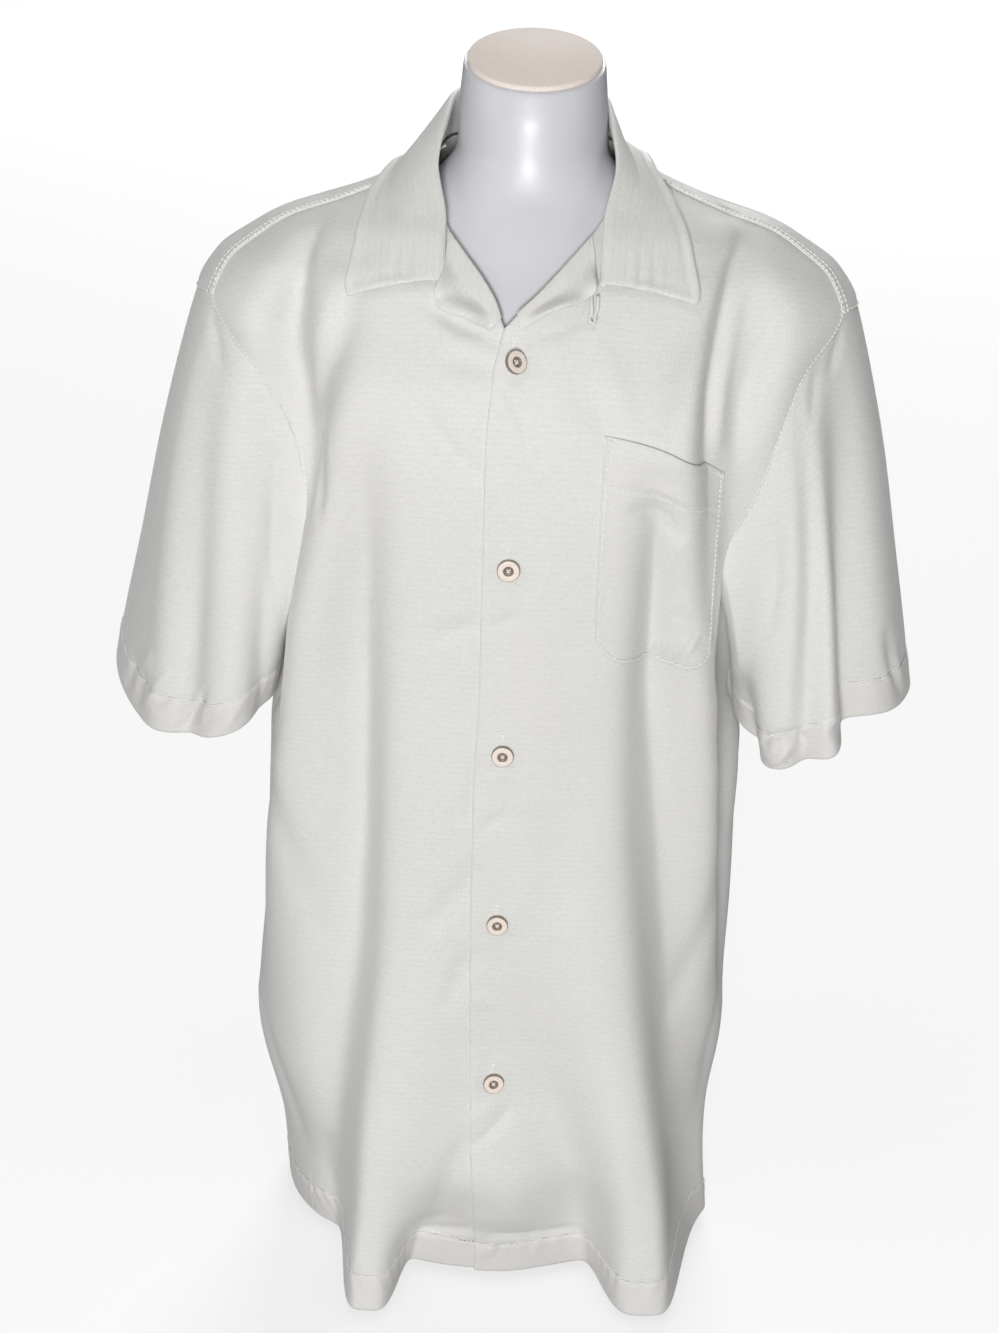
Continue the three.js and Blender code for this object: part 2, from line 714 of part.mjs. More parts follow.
// Inner bound of a front panel: the lapped edge below the V, and the neckline above it.
function frontEdge(side, z) {
  if (z > YOKE_FRONT_Z) {
    const neck = neckTable(z);
    return alongAtX(side < 0 ? neck.right : neck.left, z);
  }
  const meet = neckTable(YOKE_FRONT_Z);
  const settle = Math.max(0, (z - LAP_TOP_Z) / (YOKE_FRONT_Z - LAP_TOP_Z)) ** 2;
  return alongAtX(side < 0 ? mix(UNDERLAP_X, meet.right, settle) : mix(LAP_EDGE_X, meet.left, settle), z);
}

// The left front rises over the right front where they lap.
function lapLift(along) {
  const past = Math.max(0, along - UNDERLAP_X);
  return LAP_RISE * Math.exp(-((past / LAP_FADE) ** 2));
}

function frontPlaces(side) {
  const middle = FRONT_HEIGHTS.map((z) => {
    const ends = [frontEdge(side, z), frontBound(side, z)];
    return evenPlaces(z, Math.min(...ends), Math.max(...ends), FRONT_COLUMNS);
  });
  return [middle, underarmPlaces(side, FRONT_HEIGHTS, ARMHOLE_FRONT, 1)];
}

function frontPanel(side) {
  const places = frontPlaces(side);
  return side > 0 ? skinWall("front_left", places, lapLift) : skinWall("front_right", places);
}

function backPanel() {
  const middle = BACK_HEIGHTS.map((z) => {
    const height = z === YOKE_BACK_Z ? z - SEAM_GAP : z;
    const { lengths } = ringAt(height);
    const full = lengths[RING_SAMPLES] - lengths[0];
    const gap = z < UNDERARM_Z ? 0 : SEAM_GAP;
    const from = armholeLine(1, height, backTable) + gap;
    const to = full + armholeLine(-1, height, backTable) - gap;
    return evenPlaces(height, from, to, BACK_COLUMNS);
  });
  const sides = [1, -1].map((side) => underarmPlaces(side, BACK_HEIGHTS, ARMHOLE_BACK, -1));
  return skinWall("back", [middle, ...sides]);
}

// The yoke: from the neck seam out to the front seams, the armholes and the back seam. Each of its
// columns runs from an angle at the neck to a place on its outer edge.
function yokePanel() {
  const heights = FRONT_HEIGHTS.filter((z) => z > YOKE_FRONT_Z);
  const { end, back } = YOKE_STEPS;
  const [endFront, endBack] = [YOKE_END[0].angle, YOKE_END[YOKE_END.length - 1].angle];
  const half = [
    ...heights.map((z, k) => ({
      angle: seamTable(z).angle,
      z,
      neck: mix(YOKE_NECK.front, YOKE_NECK.side, k / heights.length),
    })),
    ...sweep(endFront, endBack, end).map((angle, k) => ({
      angle,
      z: endTable(angle).z,
      neck: mix(YOKE_NECK.side, YOKE_NECK.rear, k / end),
    })),
    ...sweep(endBack, 180, back).map((angle, k) => ({
      angle,
      z: YOKE_BACK_Z,
      neck: mix(YOKE_NECK.rear, 180, k / back),
    })),
  ];
  const left = half.map((column) => ({ ...column, side: 1 }));
  const right = half.map((column) => ({ ...column, side: -1 })).reverse();
  const columns = [...left, { angle: 180, z: YOKE_BACK_Z, neck: 180, side: 1 }, ...right];
  const grid = Array.from({ length: YOKE_ROWS }, (_, j) => {
    const t = j / (YOKE_ROWS - 1);
    return columns.map(({ side, angle, z, neck }) => {
      const height = mix(NECK_Z, z, t);
      return { along: alongOf(side * mix(neck, angle, t) * DEGREE, height), z: height };
    });
  });
  return skinWall("yoke", [grid]);
}

// ---------------------------------------------------------------------------------------------------
// Sleeves

// The armhole as a loop of points: over the shoulder, down the front, under the arm and up the back.
function armholeLoop(side) {
  const low = (row) => row.z <= UNDERARM_Z;
  const frontCurve = readTable(ARMHOLE_FRONT.filter(low), "angle");
  const backCurve = readTable(ARMHOLE_BACK.filter(low), "angle");
  const yokeEnd = (angle) => ({ angle, z: endTable(angle).z });
  const places = [
    ...sweep(SIDE_ANGLE, YOKE_END[0].angle, 4).map(yokeEnd),
    ...sweep(YOKE_FRONT_Z, UNDERARM_Z, 13).map((z) => ({ angle: frontTable(z).angle, z })),
    ...sweep(frontTable(UNDERARM_Z).angle, SIDE_ANGLE, 11).map((a) => ({ angle: a, z: frontCurve(a).z })),
    ...sweep(SIDE_ANGLE, backTable(UNDERARM_Z).angle, 9).map((a) => ({ angle: a, z: backCurve(a).z })),
    ...sweep(UNDERARM_Z, YOKE_BACK_Z, 10).map((z) => ({ angle: backTable(z).angle, z })),
    ...sweep(YOKE_END[YOKE_END.length - 1].angle, SIDE_ANGLE, 7).map(yokeEnd),
    yokeEnd(SIDE_ANGLE),
  ];
  return places.map(({ angle, z }) => skinPoint(alongOf(side * angle * DEGREE, z), z));
}

function sleeveHem(side, turn) {
  const h = SLEEVE_HEM.find((row) => row.side === side);
  const s = Math.sin(turn);
  const c = Math.cos(turn);
  const x = h.x - h.turn_in * s + h.half_x * c;
  const z = h.z - h.out_drop * c - h.fore_drop * s + 2 * h.lift * s * c;
  return new THREE.Vector3(side * x, h.y - h.half_y * s, z);
}

function sleeveFold(side, turn, t) {
  let depth = 0;
  for (const fold of SLEEVE_FOLDS) {
    if (fold.side !== side || t <= fold.start) continue;
    const away = (turn / DEGREE - fold.turn) / fold.width;
    const growth = Math.sin(((t - fold.start) / (1 - fold.start)) * (Math.PI / 2));
    depth += fold.depth * growth * Math.exp(-(away ** 2));
  }
  return depth;
}

// A sleeve's point: from the armhole it leaves outwards and comes down to the hem ring.
function sleevePoint(side, start, middle, turn, t) {
  const end = sleeveHem(side, turn);
  const length = end.distanceTo(start);
  const under = Math.min(Math.max((middle.z - start.z) / UNDERARM_FALL, 0), 1);
  const point = start.clone().addScaledVector(middle.clone().sub(start).normalize(), SLEEVE_GAP);
  point.x += side * (SLEEVE_GAP + UNDERARM_GAP * under);
  const leave = new THREE.Vector3(side * SLEEVE_START.out, 0, -SLEEVE_START.down).multiplyScalar(length);
  leave.y = (start.y - middle.y) * SLEEVE_START.swell;
  const arrive = new THREE.Vector3(side * SLEEVE_END.out, 0, -SLEEVE_END.down).multiplyScalar(length);
  point.multiplyScalar((1 + 2 * t) * (1 - t) ** 2);
  point.addScaledVector(leave, t * (1 - t) ** 2);
  point.addScaledVector(end, t * t * (3 - 2 * t));
  point.addScaledVector(arrive, t * t * (t - 1));
  const outward = new THREE.Vector3(side * Math.cos(turn), -Math.sin(turn), 0);
  return point.addScaledVector(outward, sleeveFold(side, turn, t));
}

function sleeve(side) {
  const loop = evenly(armholeLoop(side), SLEEVE_COLUMNS + 1).slice(0, SLEEVE_COLUMNS);
  const middle = loop.reduce((sum, p) => sum.add(p), new THREE.Vector3()).divideScalar(SLEEVE_COLUMNS);
  const grid = Array.from({ length: SLEEVE_ROWS }, (_, j) => {
    const t = j / (SLEEVE_ROWS - 1);
    const row = loop.map((start, i) => {
      return sleevePoint(side, start, middle, (2 * Math.PI * i) / SLEEVE_COLUMNS, t);
    });
    return side > 0 ? row.reverse() : row;
  });
  return wall(side > 0 ? "sleeve_left" : "sleeve_right", grid, CLOTH, CLOTH_LOOK, true);
}

// ---------------------------------------------------------------------------------------------------
// Collar, lapels and pocket

// Points and outward directions of the skin round the neck, for pieces that rest on it.
function restingField() {
  const field = [];
  for (let z = 680; z <= NECK_Z; z += 3.5) {
    for (let angle = -180; angle < 180; angle += 3) {
      const along = alongOf(angle * DEGREE, z);
      field.push({ point: skinPoint(along, z), normal: skinNormal(along, z) });
    }
  }
  return field;
}

// Moves a point out until it clears the skin by a distance.
function clearOf(field, point, distance) {
  let best = field[0];
  let least = Infinity;
  for (const place of field) {
    const far = place.point.distanceToSquared(point);
    if (far < least) {
      least = far;
      best = place;
    }
  }
  const height = point.clone().sub(best.point).dot(best.normal);
  return height < distance ? point.addScaledVector(best.normal, distance - height) : point;
}

function collar() {
  const rollTable = readTable(COLLAR_ROLL_LINE, "step");
  const edgeTable = readTable(COLLAR_EDGE, "step");
  const field = restingField();
  const columns = [];
  for (let k = -COLLAR_SECTIONS; k <= COLLAR_SECTIONS; k += 1) {
    const step = Math.abs(k) / COLLAR_SECTIONS;
    const side = k < 0 ? -1 : 1;
    const shift = COLLAR_SHIFT * step;
    const line = rollTable(step);
    const rim = edgeTable(step);
    const reach = side > 0 ? rim.x - rim.left_draw : rim.x;
    const roll = new THREE.Vector3(side * line.x + shift, line.y, line.z);
    const edge = new THREE.Vector3(side * reach + shift, rim.y, rim.z);
    const seam = new THREE.Vector3(side * (line.x + COLLAR_SPREAD) + shift, line.seam_y, line.z - line.drop);
    const out = edge.clone().sub(roll).setZ(0).normalize();
    const under = roll.clone().addScaledVector(out, -COLLAR_ROLL / 2);
    under.z -= Math.min(COLLAR_ROLL, line.drop / 2);
    const over = roll.clone().addScaledVector(out, COLLAR_ROLL);
    over.z -= COLLAR_ROLL / 2;
    const crown = mix(COLLAR_CROWN.back, COLLAR_CROWN.front, step);
    const leaf = [0, 0.2, 0.4, 0.6, 0.8, 1].map((t) => {
      const point = over.clone().lerp(edge, t);
      point.z += crown * 4 * t * (1 - t);
      return point;
    });
    const inner = [seam, seam.clone().lerp(under, 0.5), under];
    columns.push([
      ...inner.map((point) => clearOf(field, point, STAND_LIFT)),
      ...[roll, ...leaf].map((point) => clearOf(field, point, COLLAR_LIFT)),
    ]);
  }
  const grid = columns[0].map((_, j) => columns.map((column) => column[j]).reverse());
  return wall("collar", grid, COLLAR_CLOTH, CLOTH_LOOK);
}

function lapel(side) {
  const rows = side < 0 ? LAPELS.right : LAPELS.left;
  const across = 4;
  const grid = rows.map((row) =>
    Array.from({ length: across }, (_, i) => {
      const t = i / (across - 1);
      const z = mix(row.v_z, row.out_z, t);
      const along = alongAtX(mix(row.v_x, row.out_x, t), z);
      const base = side > 0 ? lapLift(along) : 0;
      return liftedPoint(along, z, base + LAPEL_LIFT + LAPEL_CROWN * Math.sin(Math.PI * t));
    }),
  );
  if (side < 0) grid.forEach((row) => row.reverse());
  return wall(side > 0 ? "lapel_left" : "lapel_right", grid, CLOTH, CLOTH_LOOK);
}

// The pocket's outline seen from the front: its open top leans with the cloth, its lower corners are round.
function pocketOutline() {
  const { left, right, top_in: topIn, top_out: topOut, foot_in: footIn, foot_out: footOut, corner } = POCKET;
  const outline = new THREE.Shape();
  outline.moveTo(left, topIn);
  outline.lineTo(left, footIn + corner);
  outline.quadraticCurveTo(left, footIn, left + corner, mix(footIn, footOut, corner / (right - left)));
  outline.lineTo(right - corner, mix(footOut, footIn, corner / (right - left)));
  outline.quadraticCurveTo(right, footOut, right, footOut + corner);
  outline.lineTo(right, topOut);
  outline.closePath();
  return outline;
}

// The pocket is the stretch inside its outline of a copy of the left front, moved out.
function pocket() {
  const moved = skinWall("moved", frontPlaces(1), (along) => lapLift(along) + POCKET_LIFT);
  const depth = POCKET_DEPTHS.from - POCKET_DEPTHS.to;
  const cutter = new THREE.ExtrudeGeometry(pocketOutline(), { depth, curveSegments: 5, bevelEnabled: false });
  cutter.rotateX(90 * DEGREE).translate(0, POCKET_DEPTHS.from, 0);
  const cut = toManifold(moved.geometry).intersect(toManifold(cutter));
  const mesh = new THREE.Mesh(fromManifold(cut), new THREE.MeshStandardMaterial(CLOTH_LOOK));
  mesh.name = "pocket";
  return mesh;
}

// ---------------------------------------------------------------------------------------------------
// Buttons and loop

function buttonGeometry() {
  const { radius, thick, rim, slope, edge, well } = BUTTON;
  const profile = [
    [0, 0],
    [radius - edge, 0],
    [radius, edge],
    [radius, thick - edge],
    [radius - edge, thick],
    [radius - rim, thick],
    [radius - rim - slope, thick - well],
    [0, thick - well],
  ].map(([r, y]) => new THREE.Vector2(r, y));
  let body = toManifold(new THREE.LatheGeometry(profile, 18));
  const hole = BUTTON_HOLE.radius;
  for (const turn of [45, 135, 225, 315]) {
    const drill = new THREE.CylinderGeometry(hole, hole, 3 * thick, 6);
    drill.translate(BUTTON_HOLE.out * Math.SQRT2, thick / 2, 0).rotateY(turn * DEGREE);
    body = body.subtract(toManifold(drill));
  }
  return fromManifold(body);
}

function buttons() {
  const shape = buttonGeometry();
  const axis = new THREE.Vector3(0, 1, 0);
  return BUTTON_HEIGHTS.map((z, i) => {
    const along = alongAtX(BUTTON_X, z);
    const normal = skinNormal(along, z);
    const turn = i === 0 ? FIRST_BUTTON.turn * DEGREE : 0;
    const lean = FIRST_BUTTON.lean * BUTTON.radius * Math.sin(turn);
    const mesh = new THREE.Mesh(shape, new THREE.MeshStandardMaterial(BUTTON_LOOK));
    mesh.name = `button_${i + 1}`;
    mesh.position.copy(liftedPoint(along, z, lapLift(along) + BUTTON.lift + lean));
    mesh.quaternion.setFromUnitVectors(axis, normal);
    mesh.quaternion.premultiply(new THREE.Quaternion().setFromAxisAngle(new THREE.Vector3(0, 0, 1), turn));
    return mesh;
  });
}

function buttonLoop() {
  const place = (dx, z) => {
    const along = alongAtX(LOOP.x + dx, z);
    return liftedPoint(along, z, lapLift(along) + LOOP.lift);
  };
  const foot = LOOP.z - LOOP.length;
  const path = new THREE.CatmullRomCurve3([
    place(-LOOP.half, LOOP.z),
    place(-LOOP.half, mix(LOOP.z, foot, 0.5)),
    place(-LOOP.half * LOOP.turn_in, foot + LOOP.turn_up),
    place(0, foot),
    place(LOOP.half * LOOP.turn_in, foot + LOOP.turn_up),
    place(LOOP.half, mix(LOOP.z, foot, 0.5)),
    place(LOOP.half, LOOP.z),
  ]);
  const section = new THREE.Shape();
  section.absarc(0, 0, LOOP.tube, 0, 2 * Math.PI);
  const options = { steps: 12, curveSegments: 4, extrudePath: path };
  const mesh = new THREE.Mesh(
    new THREE.ExtrudeGeometry(section, options),
    new THREE.MeshStandardMaterial(CLOTH_LOOK),
  );
  mesh.name = "button_loop";
  return mesh;
}

// ---------------------------------------------------------------------------------------------------
// Dress form

// A solid stack of rings with flat ends.
function stack(name, stackRings, look) {
  const around = stackRings[0].length;
  const positions = [];
  stackRings.flat().forEach((p) => positions.push(p.x, p.y, p.z));
  const ends = [stackRings[0], stackRings[stackRings.length - 1]];
  ends.forEach((ring) => {
    const middle = ring.reduce((sum, p) => sum.add(p), new THREE.Vector3()).divideScalar(around);
    positions.push(middle.x, middle.y, middle.z);
  });
  const foot = stackRings.length * around;
  const triangles = [];
  for (let i = 0; i < around; i += 1) {
    const next = (i + 1) % around;
    for (let j = 0; j < stackRings.length - 1; j += 1) {
      const [low, high] = [j * around, (j + 1) * around];
      triangles.push(low + i, low + next, high + next, low + i, high + next, high + i);
    }
    const top = (stackRings.length - 1) * around;
    triangles.push(foot, next, i, foot + 1, top + i, top + next);
  }
  return solid(name, positions, triangles, look);
}

function neckTilt(z, y) {
  const share = Math.min(Math.max((z - NECK_TILT.from) / (NECK_TILT.to - NECK_TILT.from), 0), 1);
  return z + share * NECK_TILT.slope * (y - NECK_TILT.middle);
}

function formRing(row, shrink, rise) {
  const ring = {
    ...row,
    half: row.half - shrink,
    front: row.front + shrink,
    back: row.back - shrink,
  };
  return Array.from({ length: FORM_COLUMNS }, (_, i) => {
    const p = ringPoint(ring, (2 * Math.PI * i) / FORM_COLUMNS);
    return new THREE.Vector3(p.x, p.y, neckTilt(row.z, p.y) + rise);
  });
}

function dressForm() {
  const top = FORM[FORM.length - 1];
  const body = FORM.map((row) => formRing(row, 0, 0));
  const lid = [
    formRing(top, CAP.inset, CAP.gap),
    formRing(top, CAP.inset, CAP.gap + CAP.thick - CAP.edge),
    formRing(top, CAP.inset + CAP.edge, CAP.gap + CAP.thick),
  ];
  return [stack("form", body, FORM_LOOK), stack("form_cap", lid, CAP_LOOK)];
}

// ---------------------------------------------------------------------------------------------------

const shirt = new THREE.Group();
shirt.add(frontPanel(-1), frontPanel(1), backPanel(), yokePanel());
shirt.add(sleeve(-1), sleeve(1));
shirt.add(collar(), lapel(-1), lapel(1), pocket());
shirt.add(...buttons(), buttonLoop());

const part = new THREE.Group();
part.add(shirt, ...dressForm());

export default part;
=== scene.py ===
"""A short-sleeved camp shirt on a limbless dress form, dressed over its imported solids.

Tables are in millimetres, in the part's own frame: +Z up, the shirt's front faces -Y and the
wearer's left is +X. Meshes are in metres.
"""

import logging
import math
from collections.abc import Callable, Sequence
from dataclasses import dataclass, field
from enum import Enum
from typing import ClassVar

import bmesh
import bpy
import numpy as np
from mathutils import Matrix, Vector
from mathutils.bvhtree import BVHTree


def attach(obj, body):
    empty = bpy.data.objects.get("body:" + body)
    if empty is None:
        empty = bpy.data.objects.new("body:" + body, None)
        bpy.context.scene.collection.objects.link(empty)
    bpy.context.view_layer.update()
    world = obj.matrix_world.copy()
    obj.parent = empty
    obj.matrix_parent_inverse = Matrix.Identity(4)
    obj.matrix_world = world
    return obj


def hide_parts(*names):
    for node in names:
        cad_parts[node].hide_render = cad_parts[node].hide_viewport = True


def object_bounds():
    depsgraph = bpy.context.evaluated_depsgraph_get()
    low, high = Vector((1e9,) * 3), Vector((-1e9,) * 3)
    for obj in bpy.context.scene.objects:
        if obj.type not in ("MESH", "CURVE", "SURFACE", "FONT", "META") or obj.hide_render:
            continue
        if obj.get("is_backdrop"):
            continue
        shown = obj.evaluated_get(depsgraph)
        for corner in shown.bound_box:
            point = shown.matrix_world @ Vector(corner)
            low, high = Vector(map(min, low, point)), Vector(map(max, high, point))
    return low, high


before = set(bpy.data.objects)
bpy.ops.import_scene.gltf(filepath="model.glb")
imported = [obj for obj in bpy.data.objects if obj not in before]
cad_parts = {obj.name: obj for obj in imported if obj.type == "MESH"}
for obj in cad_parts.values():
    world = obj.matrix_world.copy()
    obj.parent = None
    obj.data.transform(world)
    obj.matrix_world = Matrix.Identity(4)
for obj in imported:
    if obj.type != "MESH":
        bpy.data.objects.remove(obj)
CAD_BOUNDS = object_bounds()

LOG = logging.getLogger("camp_shirt")
MM = 0.001
BODY = "root"
Array = np.ndarray


class Side(Enum):
    """The wearer's sides, with their sign along X."""

    RIGHT = -1
    LEFT = 1


class Slot(Enum):
    """The record's material slots."""

    CLOTH = "cloth"
    BUTTON = "button"
    FORM = "form"
    CAP = "form_cap"


# ---------- Tables


@dataclass(frozen=True)
class Ring:
    """A level ring: middle and half width across, the depths of its front, back and side, and how
    square it is (2 is an ellipse)."""

    z: float
    centre: float
    half: float
    front: float
    back: float
    side: float
    square: float


@dataclass(frozen=True)
class Fold:
    """A fold at one height: its place round the ring, how far it stands out, its half width, its half
    width on its far side (0 for the same), how flat its top is (2 is a plain bell), and how much further
    it stands out for each millimetre towards its far side."""

    z: float
    place: float
    depth: float
    width: float
    far: float = 0.0
    power: float = 2.0
    lean: float = 0.0


@dataclass(frozen=True)
class Crease:
    """A crease between two places on a surface: its depth (+ stands out), half width, and how far its
    middle bows to one side."""

    from_along: float
    from_z: float
    to_along: float
    to_z: float
    depth: float
    width: float
    bow: float = 0.0


@dataclass(frozen=True)
class Swell:
    """A soft wave over the whole skin: its depth, waves round the ring, rise and start, and the rise and
    waves of the slower wave that it fades by."""

    depth: float
    waves: float
    rise: float
    start: float
    fade_rise: float
    fade_waves: float


SWELLS = (Swell(0.26, 8, 43, 0.0, 29, -3), Swell(0.15, 15, -33, 1.3, 61, 4))

RINGS = (
    Ring(8, -7, 154, -112, 116, 8, 2.0), Ring(60, -7, 157, -111, 116, 8, 2.05),
    Ring(160, -10, 171, -111, 115, 8, 2.2), Ring(290, -7, 167, -112, 111, 6, 2.4),
    Ring(377, -7, 163, -112, 107, 5, 2.5), Ring(450, -6, 161, -112, 105, 5, 2.6),
    Ring(500, -5, 163, -112, 106, 6, 2.7), Ring(560, -2, 169, -112, 109, 8, 2.7),
    Ring(610, 0, 178, -111, 112, 10, 2.6), Ring(650, 0, 191, -106, 110, 13, 2.4),
    Ring(686, 0, 208, -92, 102, 17, 2.2), Ring(710, 0, 195, -80, 95, 17, 2.1),
    Ring(725, 0, 174, -69, 90, 17, 2.0), Ring(736, 0, 154, -60, 85, 17, 2.0),
    Ring(747, 0, 119, -49, 79, 17, 2.0), Ring(760, 0, 86, -39, 72, 17, 2.0),
    Ring(778, 0, 54, -28, 64, 17, 2.0),
)

FOLDS = {
    "right_side_valley": (
        Fold(722, -140, 0, 15), Fold(690, -146, -8, 16), Fold(600, -152, -15, 18),
        Fold(520, -172, -22, 20), Fold(465, -196, -26, 30), Fold(425, -204, -28, 32),
        Fold(385, -200, -24, 22), Fold(280, -214, -14, 20), Fold(170, -216, 0, 20),
    ),
    "right_side_ridge": (
        Fold(690, -106, 0, 20), Fold(600, -112, 6, 19), Fold(480, -136, 9, 20),
        Fold(370, -158, 9, 22), Fold(280, -172, 5, 24), Fold(180, -180, 0, 24),
    ),
    "left_side_valley": (
        Fold(722, 144, 0, 15), Fold(690, 144, -7, 16), Fold(600, 146, -10, 17),
        Fold(520, 166, -18, 19), Fold(465, 186, -27, 30), Fold(425, 196, -29, 32),
        Fold(385, 190, -25, 22), Fold(280, 200, -16, 20), Fold(170, 210, 0, 20),
    ),
    "left_side_ridge": (
        Fold(680, 96, 0, 17), Fold(630, 95, 5, 17), Fold(540, 106, 7, 17), Fold(440, 132, 8, 18),
        Fold(340, 150, 6, 20), Fold(220, 164, 0, 20),
    ),
    "right_hem_valley": (
        Fold(500, -90, 0, 13), Fold(350, -91, -5, 13), Fold(200, -98, -8, 14),
        Fold(100, -112, -7, 14), Fold(8, -122, -3, 14),
    ),
    "left_hem_valley": (
        Fold(600, 80, 0, 13), Fold(420, 91, -6, 13), Fold(260, 113, -8, 14), Fold(130, 140, -8, 15),
        Fold(8, 164, -4, 15),
    ),
    "right_long_crease": (
        Fold(640, -98, 0, 22, 13), Fold(590, -97, -6, 24, 14), Fold(524, -96, -13, 25, 15),
        Fold(455, -98, -18, 25, 16), Fold(345, -103, -19, 24, 17), Fold(268, -108, -17, 23, 17),
        Fold(195, -113, -12, 20, 16), Fold(100, -118, 0, 16, 14),
    ),
    "left_long_crease": (
        Fold(620, 82, 0, 11, 20), Fold(569, 86, -9, 12, 22), Fold(529, 92, -15, 13, 24),
        Fold(459, 101, -18, 15, 27), Fold(385, 113, -18, 16, 30), Fold(308, 124, -16, 16, 30),
        Fold(227, 137, -12, 16, 26), Fold(140, 150, 0, 15, 20),
    ),
    "left_chest_crease": (
        Fold(752, 147, 0, 8, 10), Fold(734, 138, -6, 9, 13), Fold(716, 128, -12, 10, 17),
        Fold(681, 121, -18, 11, 22), Fold(654, 118, -19, 11, 24), Fold(625, 117, -16, 11, 24),
        Fold(594, 120, -12, 12, 23), Fold(542, 128, -7, 13, 22), Fold(489, 143, -3, 13, 20),
        Fold(440, 156, 0, 13, 20),
    ),
    "left_chest_ridge": (
        Fold(722, 136, 0, 7), Fold(690, 130, 4.0, 7), Fold(650, 126, 5.0, 7), Fold(605, 125, 0, 7),
    ),
    "left_shoulder_crease": (
        Fold(705, 160, 0, 6), Fold(675, 150, -3.0, 7), Fold(640, 144, -3.0, 8),
        Fold(600, 142, 0, 8),
    ),
    "right_shoulder_crease": (
        Fold(744, -131, 0, 9, 6), Fold(724, -140, -6, 11, 8), Fold(700, -148, -11, 13, 11),
        Fold(686, -153, -13, 14, 13), Fold(637, -163, -12, 15, 14), Fold(590, -168, -7, 15, 12),
        Fold(540, -174, 0, 14, 10),
    ),
    "right_shoulder_ridge": (
        Fold(722, -114, 0, 9), Fold(690, -122, 4.0, 9), Fold(655, -136, 4.5, 8),
        Fold(615, -146, 0, 8),
    ),
    "right_chest_crease": (
        Fold(712, -104, 0, 20, 13), Fold(680, -116, -9.0, 21, 14), Fold(645, -132, -14.0, 22, 15),
        Fold(615, -140, -11.0, 20, 14), Fold(560, -148, 0, 18, 12),
    ),
    "right_thin_crease": (
        Fold(634, -127, 0, 4), Fold(615, -125, -2.4, 4), Fold(592, -123, -2.4, 4),
        Fold(566, -124, 0, 4),
    ),
    "right_bust": (
        Fold(690, -58, 0, 40), Fold(640, -60, 3.0, 40), Fold(600, -60, 4.0, 40),
        Fold(500, -60, 0, 40),
    ),
    "left_bust": (
        Fold(700, 56, 0, 38), Fold(640, 58, 2.5, 38), Fold(590, 58, 3.5, 36), Fold(500, 56, 0, 36),
    ),
    "right_back_fold": (
        Fold(640, -330, 0, 26), Fold(420, -322, -9, 24), Fold(200, -312, -17, 24),
        Fold(8, -306, -26, 22),
    ),
    "left_vent_ridge": (
        Fold(150, 172, 0, 17), Fold(76, 172, 9, 17), Fold(8, 172, 22, 17),
    ),
    "left_back_fold": (
        Fold(600, 352, 0, 26), Fold(380, 338, -11, 24), Fold(180, 322, -20, 24),
        Fold(8, 312, -24, 24),
    ),
    "middle_back_fold": (
        Fold(520, -398, 0, 30), Fold(300, -394, 8, 30), Fold(8, -380, 20, 28),
    ),
    "right_back_crease": (
        Fold(610, -262, 0, 9), Fold(520, -268, -4.0, 9), Fold(380, -272, -5.5, 9),
        Fold(230, -268, -4.0, 10), Fold(120, -262, 0, 11),
    ),
    "left_back_crease": (
        Fold(640, 268, 0, 8), Fold(560, 272, -3.5, 8), Fold(430, 280, -5.5, 9),
        Fold(300, 278, -4.5, 10), Fold(150, 268, 0, 11),
    ),
    "high_back_crease": (
        Fold(648, 392, 0, 10), Fold(560, 388, -4.0, 10), Fold(430, 384, -4.5, 11),
        Fold(260, 380, 0, 12),
    ),
}
LOBES = {
    "right_hem_lobe": (
        Fold(470, -62, 0, 34, 50), Fold(300, -68, 4, 34, 52), Fold(200, -77, 17, 28, 60, 2.2),
        Fold(110, -83, 37, 27, 58, 2.3, -0.2), Fold(70, -86, 48, 26, 46, 2.8, -0.35),
        Fold(40, -87, 56, 25, 29, 3.9, -0.4), Fold(8, -87, 65, 24, 24, 5.0, -0.4),
    ),
    "left_hem_lobe": (
        Fold(560, 54, 0, 30, 30), Fold(400, 62, 3, 44, 32), Fold(250, 84, 17, 50, 34, 2.2),
        Fold(120, 110, 48, 44, 36, 3.0, 0.25), Fold(60, 118, 67, 42, 36, 4.0, 0.5),
        Fold(8, 121, 81, 40, 37, 5.0, 0.6),
    ),
    "middle_billow": (
        Fold(205, 5, 0, 60), Fold(165, 5, 4, 58), Fold(125, 8, 13, 54), Fold(95, 10, 18, 50),
        Fold(64, 10, 12, 44), Fold(44, 10, 3, 42), Fold(30, 10, 0, 40),
    ),
}

HEM_Z = 8.0
NECK_Z = 778.0
UNDERARM_Z = 534.0
YOKE_FRONT_Z = 691.0
YOKE_BACK_Z = 650.0
VENT_TOP = 76.0
SIDE_MM_A_DEGREE = 2.5
YOKE_MM_A_DEGREE = 2.4

# (height, angle round the ring from the front), or (angle, height) for the yoke's end
ARMHOLE_FRONT = (
    (486, 90), (488, 83), (494, 75), (503, 67), (516, 61), (534, 57), (610, 57), (655, 58), (691, 68),
)
ARMHOLE_BACK = (
    (486, 90), (488, 97), (494, 104), (503, 111), (516, 115), (534, 117), (610, 117), (650, 116),
)
YOKE_END = ((68, 691), (90, 686), (108, 682), (116, 650))
YOKE_SEAM = ((691, 68), (725, 73), (764, 76))
YOKE_NECK = (76, 90, 114, 180)

